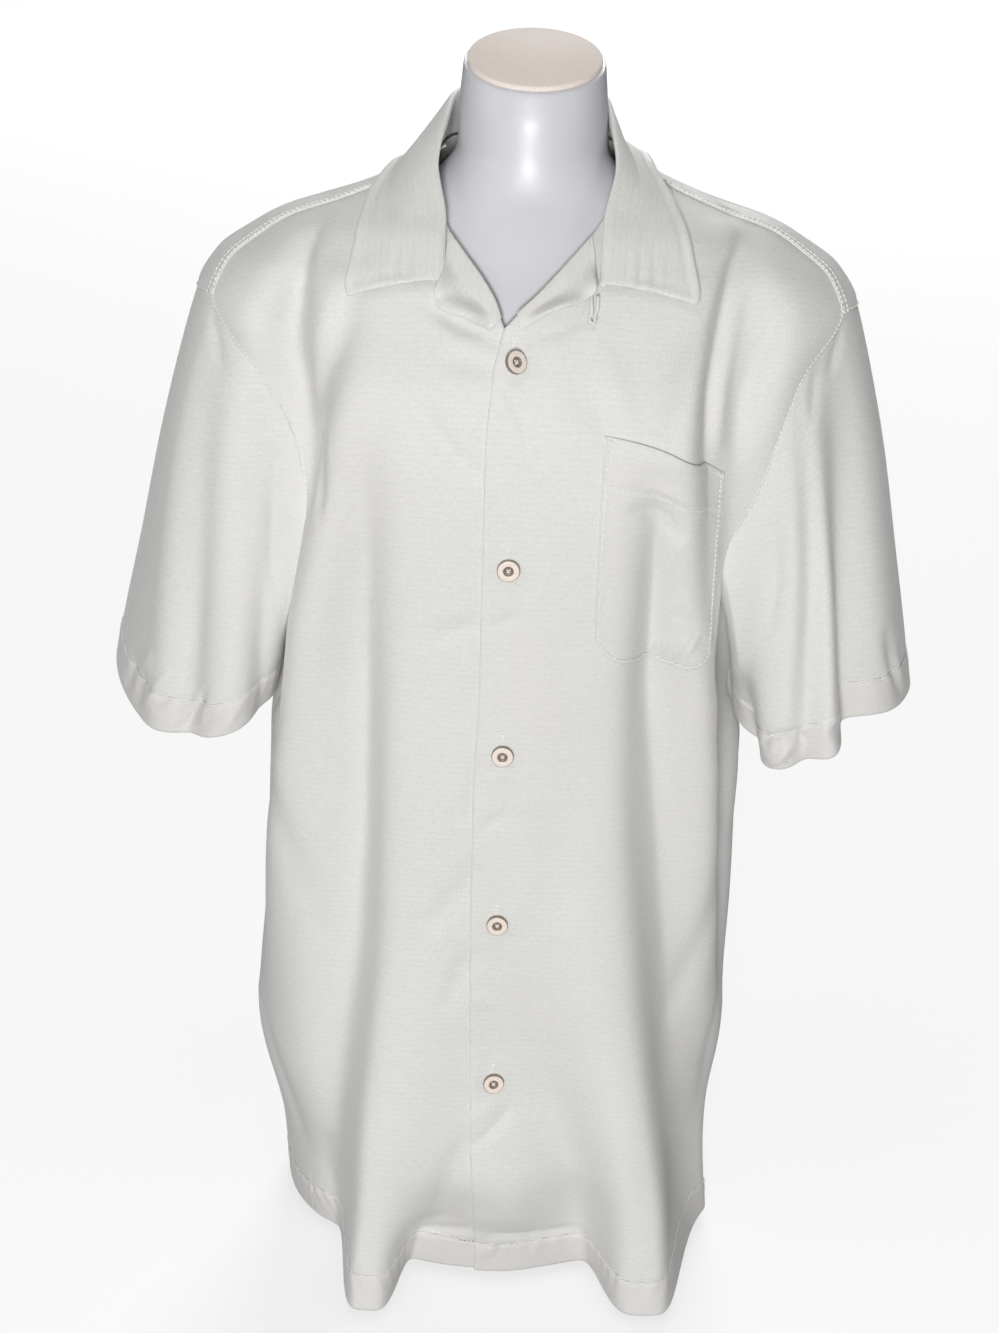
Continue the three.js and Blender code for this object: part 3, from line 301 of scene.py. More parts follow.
# (height, x): the V's edge on each side, and the lapped edge of the left front
NECKLINE = {
    Side.RIGHT: ((691, -14), (700, -18), (719, -32), (739, -48), (750, -54), (764, -62)),
    Side.LEFT: ((691, -13), (700, -4), (719, 16), (739, 37), (750, 46), (764, 58)),
}
LAP_EDGE = (
    (8, -15), (44, -16), (130, -20), (158, -21), (239, -23), (337, -24), (408, -24), (461, -22),
    (626, -22), (653, -20), (670, -18), (691, -13),
)
UNDERLAP_X = 12.0
LAP_TOP_Z = 600.0

# Creases of the body: places round the ring and heights, depth (+ stands out), half width, bow
BODY_CREASES = (
    # chest, drawn towards the buttons
    Crease(-66, 655, -20, 606, -2.6, 7, -5), Crease(-52, 672, -17, 668, -1.6, 5, 2),
    Crease(-17, 664, 4, 628, -1.2, 3, 2), Crease(-46, 500, -17, 514, -1.6, 6, 2),
    Crease(-13, 512, 8, 520, -1.0, 4, 1), Crease(24, 664, 62, 610, -1.4, 9, 6),
    Crease(112, 700, 88, 618, -2.4, 10, -7), Crease(36, 690, 60, 640, 1.2, 8, 3),
    Crease(-62, 702, -10, 684, -3.2, 4, -2), Crease(-2, 686, 44, 703, -3.2, 4, -3),
    # belly, drawn towards the lower buttons
    Crease(-48, 292, -14, 348, -2.0, 8, -3), Crease(-30, 230, -15, 284, -2.2, 7, 2),
    Crease(-22, 372, -14, 420, -1.1, 5, 2), Crease(-14, 366, 6, 384, -1.1, 4, 2),
    Crease(-12, 402, 6, 412, 0.9, 4, 1), Crease(-18, 244, 4, 236, 0.9, 4, 1),
    Crease(-13, 126, 16, 158, -1.8, 4, -2), Crease(-12, 146, 14, 164, 1.2, 4, 2),
    Crease(20, 390, 44, 300, -1.4, 12, 5), Crease(34, 200, 62, 110, -1.6, 12, -5),
    # lower fronts and hem
    Crease(-40, 58, -9, 142, -2.6, 9, 3), Crease(-64, 34, -8, 45, -3.4, 4.0, -2),
    Crease(2, 45, 72, 38, -3.2, 4.0, -3), Crease(-4, 18, 10, 40, 1.6, 4.0, 1),
    # sides and back
    Crease(170, 330, 132, 190, -2.5, 12, 8), Crease(-190, 420, -128, 250, -2.2, 12, 8),
    Crease(-196, 180, -150, 60, -2.6, 10, 5), Crease(200, 200, 168, 90, -2.6, 9, -5),
    Crease(-330, 590, -286, 470, -3.0, 9, -8), Crease(-430, 620, -410, 430, 2.4, 12, 5),
    Crease(330, 600, 292, 480, -3.0, 9, 8), Crease(-372, 360, -346, 180, -2.4, 10, 6),
    Crease(380, 250, 352, 90, 2.4, 11, -6), Crease(-236, 440, -214, 330, 2.4, 8, 4),
    Crease(240, 430, 222, 320, 2.2, 8, -4),
)
POCKET_CREASES = (
    Crease(62, 592, 98, 566, -2.4, 6, 6), Crease(72, 606, 112, 578, 1.5, 5, 5),
    Crease(98, 520, 120, 484, -1.4, 4, 2), Crease(106, 486, 114, 503, 1.1, 1.8, 0.5),
    Crease(99, 484, 108, 501, 1.2, 1.8, 0.5), Crease(91, 484, 100, 499, 1.0, 1.8, 0.5),
    Crease(84, 486, 92, 499, 0.8, 1.8, 0.5), Crease(88, 634, 112, 606, -1.0, 5, 2),
    Crease(54, 626, 66, 612, 0.7, 3, 1),
)
# Creases of the sleeves: places round the sleeve from its outside, heights down from the armhole
SLEEVE_CREASES = {
    Side.RIGHT: (
        Crease(78, -212, 56, -252, -2.4, 4.5, 2), Crease(100, -222, 80, -263, -2.6, 4.5, 2),
        Crease(68, -222, 48, -258, 1.8, 4.0, -2), Crease(90, -232, 70, -263, 1.8, 4.0, 2),
        Crease(27, -234, 16, -262, -2.2, 5.0, 1), Crease(48, -220, 30, -240, 1.8, 5.0, 1),
        Crease(42, -232, 36, -262, -1.6, 4.5, 1), Crease(116, -248, 92, -262, -1.8, 4.0, 2),
        Crease(134, -226, 122, -262, 1.4, 5.0, 2), Crease(40, -2, 62, -26, -1.4, 5.0, 2),
        Crease(110, -20, 150, -120, -2.5, 9, -5), Crease(330, -60, 300, -240, -3.0, 12, 8),
        Crease(260, -40, 240, -180, -2.4, 10, -6), Crease(380, -200, 360, -262, 2.0, 6, 3),
    ),
    Side.LEFT: (
        Crease(156, -240, 130, -228, -3.4, 4.5, -2), Crease(132, -228, 110, -250, -3.4, 4.5, 2),
        Crease(150, -262, 122, -238, 2.6, 4.5, 2), Crease(118, -262, 100, -236, 2.0, 4.5, 2),
        Crease(96, -240, 84, -263, -2.4, 4.5, 1), Crease(34, -206, 24, -262, -2.6, 5.0, 2),
        Crease(52, -222, 40, -244, -1.6, 5.0, 2), Crease(26, -226, 18, -262, 1.8, 4.0, 1),
        Crease(40, -2, 58, -22, -1.6, 5.0, 2), Crease(66, -4, 76, -34, -1.8, 5.0, 1),
        Crease(130, -30, 146, -130, -2.2, 9, -5), Crease(330, -60, 300, -240, -3.0, 12, 8),
        Crease(250, -50, 232, -190, -2.4, 10, -6), Crease(384, -196, 362, -262, 2.0, 6, 3),
    ),
}


# ---------- Curves


class Line:
    """A smooth line through points, which never overshoots them."""

    def __init__(self, points: Sequence[tuple[float, float]]) -> None:
        """Fits the line.

        Args:
            points: (place, value) pairs in any order.
        """
        ordered = sorted(points)
        self.at = np.array([p[0] for p in ordered], float)
        self.values = np.array([p[1] for p in ordered], float)
        step = np.diff(self.at)
        rise = np.diff(self.values) / step
        slope = np.empty_like(self.values)
        slope[0], slope[-1] = rise[0], rise[-1]
        for i in range(1, len(slope) - 1):
            before = 2 * step[i] + step[i - 1]
            after = step[i] + 2 * step[i - 1]
            turns = rise[i - 1] * rise[i] <= 0
            slope[i] = 0.0 if turns else (before + after) / (before / rise[i - 1] + after / rise[i])
        self.slope = slope

    def __call__(self, place: Array | float) -> Array:
        """Returns the value at each place, held at its end values beyond them."""
        x = np.clip(np.asarray(place, float), self.at[0], self.at[-1])
        i = np.clip(np.searchsorted(self.at, x, side="right") - 1, 0, len(self.at) - 2)
        h = self.at[i + 1] - self.at[i]
        t = (x - self.at[i]) / h
        start = (1 + 2 * t) * (1 - t) ** 2 * self.values[i] + t * (1 - t) ** 2 * h * self.slope[i]
        end = t * t * (3 - 2 * t) * self.values[i + 1] + t * t * (t - 1) * h * self.slope[i + 1]
        return start + end


def mix(a: Array | float, b: Array | float, t: Array | float) -> Array | float:
    """Returns the value a share t of the way from a to b."""
    return a + (b - a) * t


def smooth_step(low: float, high: float, value: Array) -> Array:
    """Returns 0 below low, 1 above high, and a soft rise between them."""
    t = np.clip((value - low) / (high - low), 0, 1)
    return t * t * (3 - 2 * t)


def unit(vectors: Array) -> Array:
    """Returns vectors with length 1 along their last axis."""
    return vectors / np.maximum(np.linalg.norm(vectors, axis=-1, keepdims=True), 1e-9)


def run_lengths(points: Array, axis: int) -> Array:
    """Returns the running length of lines of points.

    Args:
        points: An array of points whose last axis is x, y, z.
        axis: The axis that runs along each line.

    Returns:
        The lengths, 0 at each line's start, without the last axis.
    """
    runs = np.linalg.norm(np.diff(points, axis=axis), axis=-1)
    start = np.zeros_like(np.take(runs, [0], axis=axis))
    return np.concatenate([start, np.cumsum(runs, axis=axis)], axis=axis)


def spaced(points: Array, count: int) -> Array:
    """Returns count points evenly spaced along an open line of points."""
    lengths = run_lengths(points, 0)
    at = np.linspace(0, lengths[-1], count)
    return np.stack([np.interp(at, lengths, points[:, k]) for k in range(points.shape[1])], axis=1)


# ---------- The skin of the shirt's body


class FoldSet:
    """Folds that push a skin in or out, each a bell across and smooth in height."""

    def __init__(self, folds: dict[str, tuple[Fold, ...]]) -> None:
        """Reads the rows of each fold, by the folds' names."""
        self.lines = [
            (
                max(row.z for row in rows),
                min(row.z for row in rows),
                Line([(row.z, row.place) for row in rows]),
                Line([(row.z, row.depth) for row in rows]),
                Line([(row.z, row.width) for row in rows]),
                Line([(row.z, row.far or row.width) for row in rows]),
                Line([(row.z, row.power) for row in rows]),
                Line([(row.z, row.lean) for row in rows]),
            )
            for rows in folds.values()
        ]

    def depth(self, along: Array, z: Array, full: Array) -> Array:
        """Returns how far the folds push the skin out at each place.

        Args:
            along: Places round the ring.
            z: Heights.
            full: The ring's whole length at those heights.
        """
        total = np.zeros(np.broadcast(along, z).shape)
        for top, low, place, depth, width, far, power, lean in self.lines:
            offset = wrapped(along - place(z), full)
            away = np.abs(offset / np.where(offset < 0, width(z), far(z))) ** power(z)
            bell = (depth(z) + lean(z) * offset) * np.exp(-away)
            total += np.where((z < top) & (z >= low), bell, 0)
        return total


def wrapped(distance: Array, full: Array) -> Array:
    """Returns distances round a ring, taken the shorter way."""
    return distance - full * np.round(distance / full)


def crease_section(crease: Crease, along: Array, z: Array) -> Array:
    """Returns how far one crease pushes a surface out.

    Args:
        crease: The crease.
        along: Distances across the surface from the crease's start.
        z: Places up the surface.

    Returns:
        The depth at each place: a bell across the crease that fades towards its two ends.
    """
    run = np.array([crease.to_along - crease.from_along, crease.to_z - crease.from_z])
    length = float(np.hypot(*run))
    run = run / length
    rise = z - crease.from_z
    t = np.clip((along * run[0] + rise * run[1]) / length, 0, 1)
    aside = rise * run[0] - along * run[1] - crease.bow * 4 * t * (1 - t)
    fade = np.sin(np.pi * t) ** 0.7
    return crease.depth * np.exp(-((aside / crease.width) ** 2)) * fade


class Skin:
    """The surface that the shirt's body panels lie on: a ring at each height, pushed by folds."""

    ANGLE_STEP = 0.5
    HEIGHT_STEP = 5.0
    RING_PROBE = 0.6
    ANGLE_PROBE = 0.35
    HEIGHT_PROBE = 1.5

    def __init__(self, creases: Sequence[Crease] = ()) -> None:
        """Reads the ring and fold tables.

        Args:
            creases: Fine creases laid over the folds.
        """
        names = ("centre", "half", "front", "back", "side", "square")
        self.lines = {name: Line([(r.z, getattr(r, name)) for r in RINGS]) for name in names}
        self.folds = FoldSet(FOLDS)
        self.lobes = FoldSet(LOBES)
        self.creases = creases
        self.angles = np.arange(-180, 180 + self.ANGLE_STEP / 2, self.ANGLE_STEP)
        self.heights = np.arange(HEM_Z, NECK_Z + self.HEIGHT_STEP, self.HEIGHT_STEP)
        ring = np.stack(self.ring(self.angles[None, :], self.heights[:, None]), axis=-1)
        lengths = run_lengths(ring, 1)
        self.lengths = lengths - lengths[:, len(self.angles) // 2][:, None]
        self.fulls = lengths[:, -1]

    def ring(self, angle: Array, z: Array) -> tuple[Array, Array]:
        """Returns x and y of the unfolded ring at angles (degrees from the front) and heights."""
        s, c = np.sin(np.radians(angle)), np.cos(np.radians(angle))
        at = {name: line(z) for name, line in self.lines.items()}
        power = 2 / at["square"]
        depth = np.where(c >= 0, at["side"] - at["front"], at["back"] - at["side"])
        x = at["centre"] + at["half"] * np.sign(s) * np.abs(s) ** power
        return x, at["side"] - depth * np.sign(c) * np.abs(c) ** power

    def along(self, angle: Array, z: Array) -> Array:
        """Returns the level length round the unfolded ring from its front to each angle."""
        angle = (np.asarray(angle, float) + 180) % 360 - 180
        a = np.clip((angle + 180) / self.ANGLE_STEP, 0, len(self.angles) - 1.000001)
        h = np.clip((np.asarray(z, float) - HEM_Z) / self.HEIGHT_STEP, 0, len(self.heights) - 1.000001)
        a, h = np.broadcast_arrays(a, h)
        i, j = a.astype(int), h.astype(int)
        low = mix(self.lengths[j, i], self.lengths[j, i + 1], a - i)
        high = mix(self.lengths[j + 1, i], self.lengths[j + 1, i + 1], a - i)
        return mix(low, high, h - j)

    def crease_depth(self, angle: Array, along: Array, z: Array, full: Array) -> Array:
        """Returns how far the fine creases and the cloth's soft unevenness push the skin out."""
        turn = np.radians(angle)
        total = 0.0
        for swell in SWELLS:
            wave = np.sin(swell.waves * turn + z / swell.rise + swell.start)
            total = total + swell.depth * wave * np.sin(z / swell.fade_rise + swell.fade_waves * turn)
        for crease in self.creases:
            total = total + crease_section(crease, wrapped(along - crease.from_along, full), z)
        return total

    def point(self, angle: Array, z: Array) -> Array:
        """Returns the skin's points, as an array whose last axis is x, y, z."""
        angle, z = np.asarray(angle, float), np.asarray(z, float)
        along = self.along(angle, z)
        full = np.interp(z, self.heights, self.fulls)
        x, y = self.ring(angle, z)
        x1, y1 = self.ring(angle + self.RING_PROBE, z)
        x0, y0 = self.ring(angle - self.RING_PROBE, z)
        run = np.maximum(np.hypot(x1 - x0, y1 - y0), 1e-9)
        depth = self.folds.depth(along, z, full) + self.crease_depth(angle, along, z, full)
        forward = self.lobes.depth(along, z, full)
        x = x + depth * (y1 - y0) / run
        y = y - depth * (x1 - x0) / run - forward
        return np.stack(np.broadcast_arrays(x, y, z), axis=-1)

    def normal(self, angle: Array, z: Array) -> Array:
        """Returns the skin's outward directions."""
        across = self.point(angle + self.ANGLE_PROBE, z) - self.point(angle - self.ANGLE_PROBE, z)
        above = self.point(angle, np.minimum(z + self.HEIGHT_PROBE, NECK_Z))
        up = above - self.point(angle, np.maximum(z - self.HEIGHT_PROBE, HEM_Z))
        return unit(np.cross(across, up))

    def angle_at_x(self, x: Array | float, z: Array | float) -> Array:
        """Returns the angles on the front where the skin reaches x."""
        x, z = np.broadcast_arrays(np.asarray(x, float), np.asarray(z, float))
        low, high = np.full(x.shape, -75.0), np.full(x.shape, 75.0)
        for _ in range(24):
            middle = (low + high) / 2
            past = self.point(middle, z)[..., 0] > x
            high = np.where(past, middle, high)
            low = np.where(past, low, middle)
        return (low + high) / 2

    def even_angles(self, z: Array, low: Array, high: Array, count: int) -> tuple[Array, Array]:
        """Returns rows of angles, evenly spaced over the folds, and their lengths from the front.

        Args:
            z: One height a row.
            low: Each row's first angle.
            high: Each row's last angle.
            count: How many angles a row has.

        Returns:
            The angles, and the lengths over the folds from angle 0 to each.
        """
        share = np.linspace(0, 1, 260)
        dense = mix(low[:, None], high[:, None], share)
        lengths = run_lengths(self.point(dense, z[:, None]), 1)
        lead = run_lengths(self.point(low[:, None] * share, z[:, None]), 1)[:, -1]
        angles = np.empty((len(z), count))
        for row in range(len(z)):
            at = np.linspace(0, lengths[row, -1], count)
            angles[row] = np.interp(at, lengths[row], dense[row])
        steps = lengths[:, -1:] * np.linspace(0, 1, count)
        return angles, steps + (np.sign(low) * lead)[:, None]


# ---------- Cloth walls


def turned_columns(value: Array | float) -> Array | float:
    """Returns an array with its columns the other way round, or a plain number as it is."""
    return value[:, ::-1] if isinstance(value, np.ndarray) else value


@dataclass
class Grid:
    """Rows by columns of places: the top row first, columns anticlockwise seen from above.

    Points and outward directions and cloth coordinates are in millimetres; wall is the thickness at each
    place, and band how much it belongs to a sewn band, from 0 to 1.
    """

    points: Array
    normals: Array
    uv: Array
    wall: Array | float = 1.0
    band: Array | float = 0.0
    closed: bool = False

    def turned(self) -> "Grid":
        """Returns the grid with its columns the other way round."""
        parts = (self.points, self.normals, self.uv, self.wall, self.band)
        return Grid(*(turned_columns(part) for part in parts), closed=self.closed)


@dataclass
class Shell:
    """Grids joined where they share an edge, made one wall of cloth with round rims."""

    MERGE_STEPS: ClassVar[int] = 50  # places within one step of a fiftieth of a millimetre are one

    grids: list[Grid]
    rim_steps: int = 3

    def _spread(self, name: str) -> Array:
        """Returns one of the grids' values at every place, in one row."""
        return np.concatenate(
            [np.broadcast_to(getattr(g, name), g.points.shape[:2]).reshape(-1) for g in self.grids]
        )

    def build(self, name: str) -> bpy.types.Object:
        """Returns the wall as a mesh object."""
        quads, start = [], 0
        for grid in self.grids:
            rows, columns = grid.points.shape[:2]
            index = np.arange(rows * columns).reshape(rows, columns) + start
            here = index if grid.closed else index[:, :-1]
            ahead = np.roll(index, -1, axis=1) if grid.closed else index[:, 1:]
            quads.append(np.stack([here[:-1], here[1:], ahead[1:], ahead[:-1]], axis=-1).reshape(-1, 4))
            start += rows * columns
        places = np.concatenate([g.points.reshape(-1, 3) for g in self.grids])
        self.source_uv = np.concatenate([g.uv.reshape(-1, 2) for g in self.grids])
        keys = np.round(places * self.MERGE_STEPS).astype(np.int64)
        _, first, merged = np.unique(keys, axis=0, return_index=True, return_inverse=True)
        merged = merged.reshape(-1)
        self.first = first
        self.points = places[first]
        self.normals = unit(np.concatenate([g.normals.reshape(-1, 3) for g in self.grids])[first])
        self.wall = self._spread("wall")[first]
        self.band = self._spread("band")[first]
        faces, sources = [], []
        for source in np.concatenate(quads).tolist():
            face = [int(merged[k]) for k in source]
            keep = [k for k in range(4) if face[k] != face[k - 1]]
            if len(keep) > 2:
                faces.append([face[k] for k in keep])
                sources.append([source[k] for k in keep])
        return self._wall_mesh(name, faces, sources)

    def _wall_mesh(
        self, name: str, faces: list[list[int]], sources: list[list[int]]
    ) -> bpy.types.Object:
        """Returns the mesh object of the sheet's wall.

        Args:
            name: The object's name.
            faces: Corners of the outer face.
            sources: The places that give each corner its cloth coordinates.
        """
        count = len(self.points)
        edges = {(a, b) for face in faces for a, b in zip(face, face[1:] + face[:1])}
        rim = [(a, b) for a, b in sorted(edges) if (b, a) not in edges]
        out = np.zeros_like(self.points)
        for a, b in rim:
            away = np.cross(self.points[b] - self.points[a], self.normals[a])
            out[a] += away
            out[b] += away
        index = np.array(sorted({a for edge in rim for a in edge}), int)
        order = {int(a): i for i, a in enumerate(index)}
        out = unit(out[index])
        half = self.wall[index, None] / 2
        normal = self.normals[index]
        middle = self.points[index] - normal * half
        loops = [index]
        vertices = [self.points, self.points - self.normals * self.wall[:, None]]
        start = 2 * count
        for k in range(1, self.rim_steps):
            turn = math.pi * k / self.rim_steps
            vertices.append(middle + half * (normal * math.cos(turn) + out * math.sin(turn)))
            loops.append(np.arange(start, start + len(index)))
            start += len(index)
        loops.append(index + count)
        polygons = list(faces)
        polygons += [[corner + count for corner in reversed(face)] for face in faces]
        corners = [k for source in sources for k in source]
        corners += [k for source in sources for k in reversed(source)]
        for upper, lower in zip(loops, loops[1:]):
            for a, b in rim:
                i, j = order[a], order[b]
                polygons.append([int(upper[j]), int(upper[i]), int(lower[i]), int(lower[j])])
                corners += [int(self.first[k]) for k in (b, a, a, b)]
        band = np.concatenate([self.band, self.band] + [self.band[index]] * (self.rim_steps - 1))
        uv = self.source_uv[np.array(corners, int)] * MM
        return mesh_object(name, np.concatenate(vertices) * MM, polygons, uv, {"band": band})


def mesh_object(
    name: str,
    vertices: Array,
    faces: Sequence[Sequence[int]],
    corner_uv: Array | None = None,
    values: dict[str, Array] | None = None,
) -> bpy.types.Object:
    """Returns a smooth-shaded mesh object in the scene.

    Args:
        name: The object's name.
        vertices: Its points, in metres.
        faces: Its faces.
        corner_uv: One cloth coordinate per face corner, in metres.
        values: Numbers per point, by attribute name.

    Returns:
        The object.
    """
    mesh = bpy.data.meshes.new(name)
    mesh.from_pydata(np.asarray(vertices).tolist(), [], [list(face) for face in faces])
    mesh.polygons.foreach_set("use_smooth", np.ones(len(mesh.polygons), bool))
    if corner_uv is not None:
        layer = mesh.uv_layers.new(name="cloth")
        layer.data.foreach_set("uv", corner_uv.astype(np.float32).ravel())
    for key, numbers in (values or {}).items():
        attribute = mesh.attributes.new(key, "FLOAT", "POINT")
        attribute.data.foreach_set("value", numbers.astype(np.float32))
    mesh.update()
    made = bpy.data.objects.new(name, mesh)
    bpy.context.scene.collection.objects.link(made)
    return made


def grid_normals(grid: Array, closed: bool = False) -> Array:
    """Returns the outward directions of a grid of points, top row first."""
    if closed:
        across = np.roll(grid, -1, axis=1) - np.roll(grid, 1, axis=1)
    else:
        across = np.gradient(grid, axis=1)
    return unit(np.cross(across, -np.gradient(grid, axis=0)))


def tube(name: str, path: Array, radius: float, around: int = 10) -> bpy.types.Object:
    """Returns a round cord along a path, closed at its ends.

    Args:
        name: The object's name.
        path: Points, in millimetres.
        radius: The cord's radius, in millimetres.
        around: Points round its section.
    """
    run = unit(np.gradient(path, axis=0))
    aside = unit(np.cross(run, np.array([0.0, -0.83, 0.55])))
    up = np.cross(aside, run)
    turn = np.linspace(0, 2 * math.pi, around, endpoint=False)
    ring = aside[:, None] * np.cos(turn)[None, :, None] + up[:, None] * np.sin(turn)[None, :, None]
    points = (path[:, None] + ring * radius).reshape(-1, 3)
    faces: list[list[int]] = []
    for j in range(len(path) - 1):
        for i in range(around):
            k = (i + 1) % around
            low, high = j * around, (j + 1) * around
            faces.append([low + i, low + k, high + k, high + i])
    faces.append(list(range(around))[::-1])
    faces.append([(len(path) - 1) * around + i for i in range(around)])
    lengths = np.repeat(run_lengths(path, 0), around)
    girth = np.tile(turn * radius, len(path))
    corners = np.array([k for face in faces for k in face])
    uv = np.stack([girth, lengths], axis=1)[corners] * MM
    made = mesh_object(name, points * MM, faces, uv, {"band": np.zeros(len(points))})
    outward(made)
    return made


def outward(made: bpy.types.Object) -> None:
    """Turns a closed mesh's faces outwards."""
    work = bmesh.new()
    work.from_mesh(made.data)
    bmesh.ops.recalc_face_normals(work, faces=work.faces)
    work.to_mesh(made.data)
    work.free()


# ---------- Finishes


class Bench:
    """A material with its shader, and short ways to add nodes to it."""

    def __init__(self, name: str) -> None:
        """Starts the material with a plain shader."""
        self.material = bpy.data.materials.new(name)
        self.material.use_nodes = True
        self.tree = self.material.node_tree
        self.tree.nodes.clear()
        out = self.tree.nodes.new("ShaderNodeOutputMaterial")
        self.shader = self.tree.nodes.new("ShaderNodeBsdfPrincipled")
        self.tree.links.new(self.shader.outputs["BSDF"], out.inputs["Surface"])

    def feed(self, socket: bpy.types.NodeSocket, value: object) -> None:
        """Sets a socket, or links it where the value is another node's output."""
        if isinstance(value, bpy.types.NodeSocket):
            self.tree.links.new(value, socket)
        else:
            socket.default_value = value

    def node(
        self, kind: str, inputs: dict[object, object] | None = None, **settings: object
    ) -> bpy.types.Node:
        """Adds a node.

        Args:
            kind: The node's type.
            inputs: Values or outputs for its sockets, by socket name or number.
            **settings: Its own settings.

        Returns:
            The node.
        """
        made = self.tree.nodes.new(kind)
        for key, value in settings.items():
            setattr(made, key, value)
        for key, value in (inputs or {}).items():
            self.feed(made.inputs[key], value)
        return made

    def math(self, operation: str, a: object, b: object = 0.0) -> bpy.types.NodeSocket:
        """Returns the result of one sum."""
        return self.node("ShaderNodeMath", {0: a, 1: b}, operation=operation).outputs[0]

    def noise(
        self, vector: bpy.types.NodeSocket, scale: tuple[float, float, float], detail: float = 2.0
    ) -> bpy.types.NodeSocket:
        """Returns soft noise of a stretched grain, around 0.5."""
        grain = self.node("ShaderNodeVectorMath", {0: vector, 1: scale}, operation="MULTIPLY")
        made = self.node("ShaderNodeTexNoise", {"Vector": grain.outputs[0], "Scale": 1.0, "Detail": detail})
        return made.outputs["Fac"]

    def blend(self, share: object, first: object, second: object) -> bpy.types.NodeSocket:
        """Returns a colour between two others."""
        made = self.node("ShaderNodeMix", {0: share, 6: first, 7: second}, data_type="RGBA")
        return made.outputs[2]

    def between(self, value: bpy.types.NodeSocket, low: float, high: float) -> bpy.types.NodeSocket:
        """Returns 0 at low and 1 at high, held beyond them."""
        inputs = {"Value": value, "From Min": low, "From Max": high}
        return self.node("ShaderNodeMapRange", inputs).outputs[0]

    def bump(self, height: bpy.types.NodeSocket, distance: float, strength: float = 1.0) -> None:
        """Gives the shader a relief."""
        made = self.node("ShaderNodeBump", {"Height": height, "Distance": distance, "Strength": strength})
        self.feed(self.shader.inputs["Normal"], made.outputs[0])

    def set(self, **values: object) -> None:
        """Sets the shader's own sockets; an underscore in a name is a space."""
        for key, value in values.items():
            self.feed(self.shader.inputs[key.replace("_", " ")], value)


Colour = tuple[float, float, float, float]


@dataclass(frozen=True)
class Finish:
    """What a piece is made of."""

    name: str

    def material(self) -> bpy.types.Material:
        """Returns the finish's material, made once."""
        found = bpy.data.materials.get(self.name)
        if found is None:
            bench = Bench(self.name)
            self.dress(bench)
            found = bench.material
        return found

    def dress(self, bench: Bench) -> None:
        """Adds the finish's nodes."""
        raise NotImplementedError


@dataclass(frozen=True)
class Silk(Finish):
    """Off-white cloth with a soft sheen, fine level ribs and upright threads; it carries painted shade in its
    rib grooves and on its sewn bands, and random warm patches of painted sheen.
    """

    light: Colour = (0.80, 0.798, 0.775, 1)
    # the low weave's tone: partly random slub tone, partly painted shade in the rib grooves
    low_tone_and_groove_shade: Colour = (0.67, 0.668, 0.645, 1)
    # warm, slightly darker patches of painted sheen
    warm_sheen_patch: Colour = (0.75, 0.715, 0.675, 1)
    # band: painted shade, a darker pinker tone that stands in for the shade and bounce light inside turned
    # hems
    band: Colour = (0.73, 0.70, 0.67, 1)
    rib_pitch: float = 0.0040
    thread_pitch: float = 0.0018
    relief: float = 0.00030

    def dress(self, bench: Bench) -> None:
        """Adds the weave, its colour and its sheen; the colour darkens where the weave lies low, partly
        random slub tone and partly painted shade in the rib grooves.
        """
        uv = bench.node("ShaderNodeUVMap", uv_map="cloth").outputs["UV"]
        place = bench.node("ShaderNodeSeparateXYZ", {"Vector": uv})
        sway = bench.math("SUBTRACT", bench.noise(uv, (34, 60, 1)), 0.5)
        weft = bench.math("ADD", place.outputs["Y"], bench.math("MULTIPLY", sway, 0.0024))
        rib = bench.math("SINE", bench.math("MULTIPLY", weft, 2 * math.pi / self.rib_pitch))
        lean = bench.math("SUBTRACT", bench.noise(uv, (90, 30, 1)), 0.5)
        warp = bench.math("ADD", place.outputs["X"], bench.math("MULTIPLY", lean, 0.0012))
        thread = bench.math("SINE", bench.math("MULTIPLY", warp, 2 * math.pi / self.thread_pitch))
        slub = bench.noise(uv, (240, 1700, 1), 3.0)
        streak = bench.noise(uv, (1600, 200, 1), 3.0)
        patch = bench.between(bench.noise(uv, (120, 260, 1)), 0.35, 0.62)
        height = bench.math("MULTIPLY", bench.math("MULTIPLY", rib, patch), 0.11)
        height = bench.math("ADD", height, bench.math("MULTIPLY", thread, 0.035))
        height = bench.math("ADD", height, bench.math("MULTIPLY", slub, 1.0))
        height = bench.math("ADD", height, bench.math("MULTIPLY", streak, 0.8))
        # colour follows the relief: painted shade where the weave lies low, over random slub tone
        shade = bench.between(height, 0.5, 1.3)
        cloth = bench.blend(shade, self.low_tone_and_groove_shade, self.light)
        # random large patches of painted sheen, tinted warm
        sheen_patches = bench.between(bench.noise(uv, (9, 7, 1)), 0.4, 0.8)
        cloth = bench.blend(bench.math("MULTIPLY", sheen_patches, 0.35), cloth, self.warm_sheen_patch)
        # sewn bands (hems, the pocket's top band) get the painted shade tone of turned cloth
        band = bench.node("ShaderNodeAttribute", attribute_name="band").outputs["Fac"]
        cloth = bench.blend(bench.math("MULTIPLY", band, 0.5), cloth, self.band)
        rough = bench.math("ADD", bench.math("MULTIPLY", shade, -0.12), 0.62)
        bench.set(Base_Color=cloth, Roughness=rough)
        bench.set(Sheen_Weight=0.25, Sheen_Roughness=0.4, Specular_IOR_Level=0.35)
        bench.bump(height, self.relief)


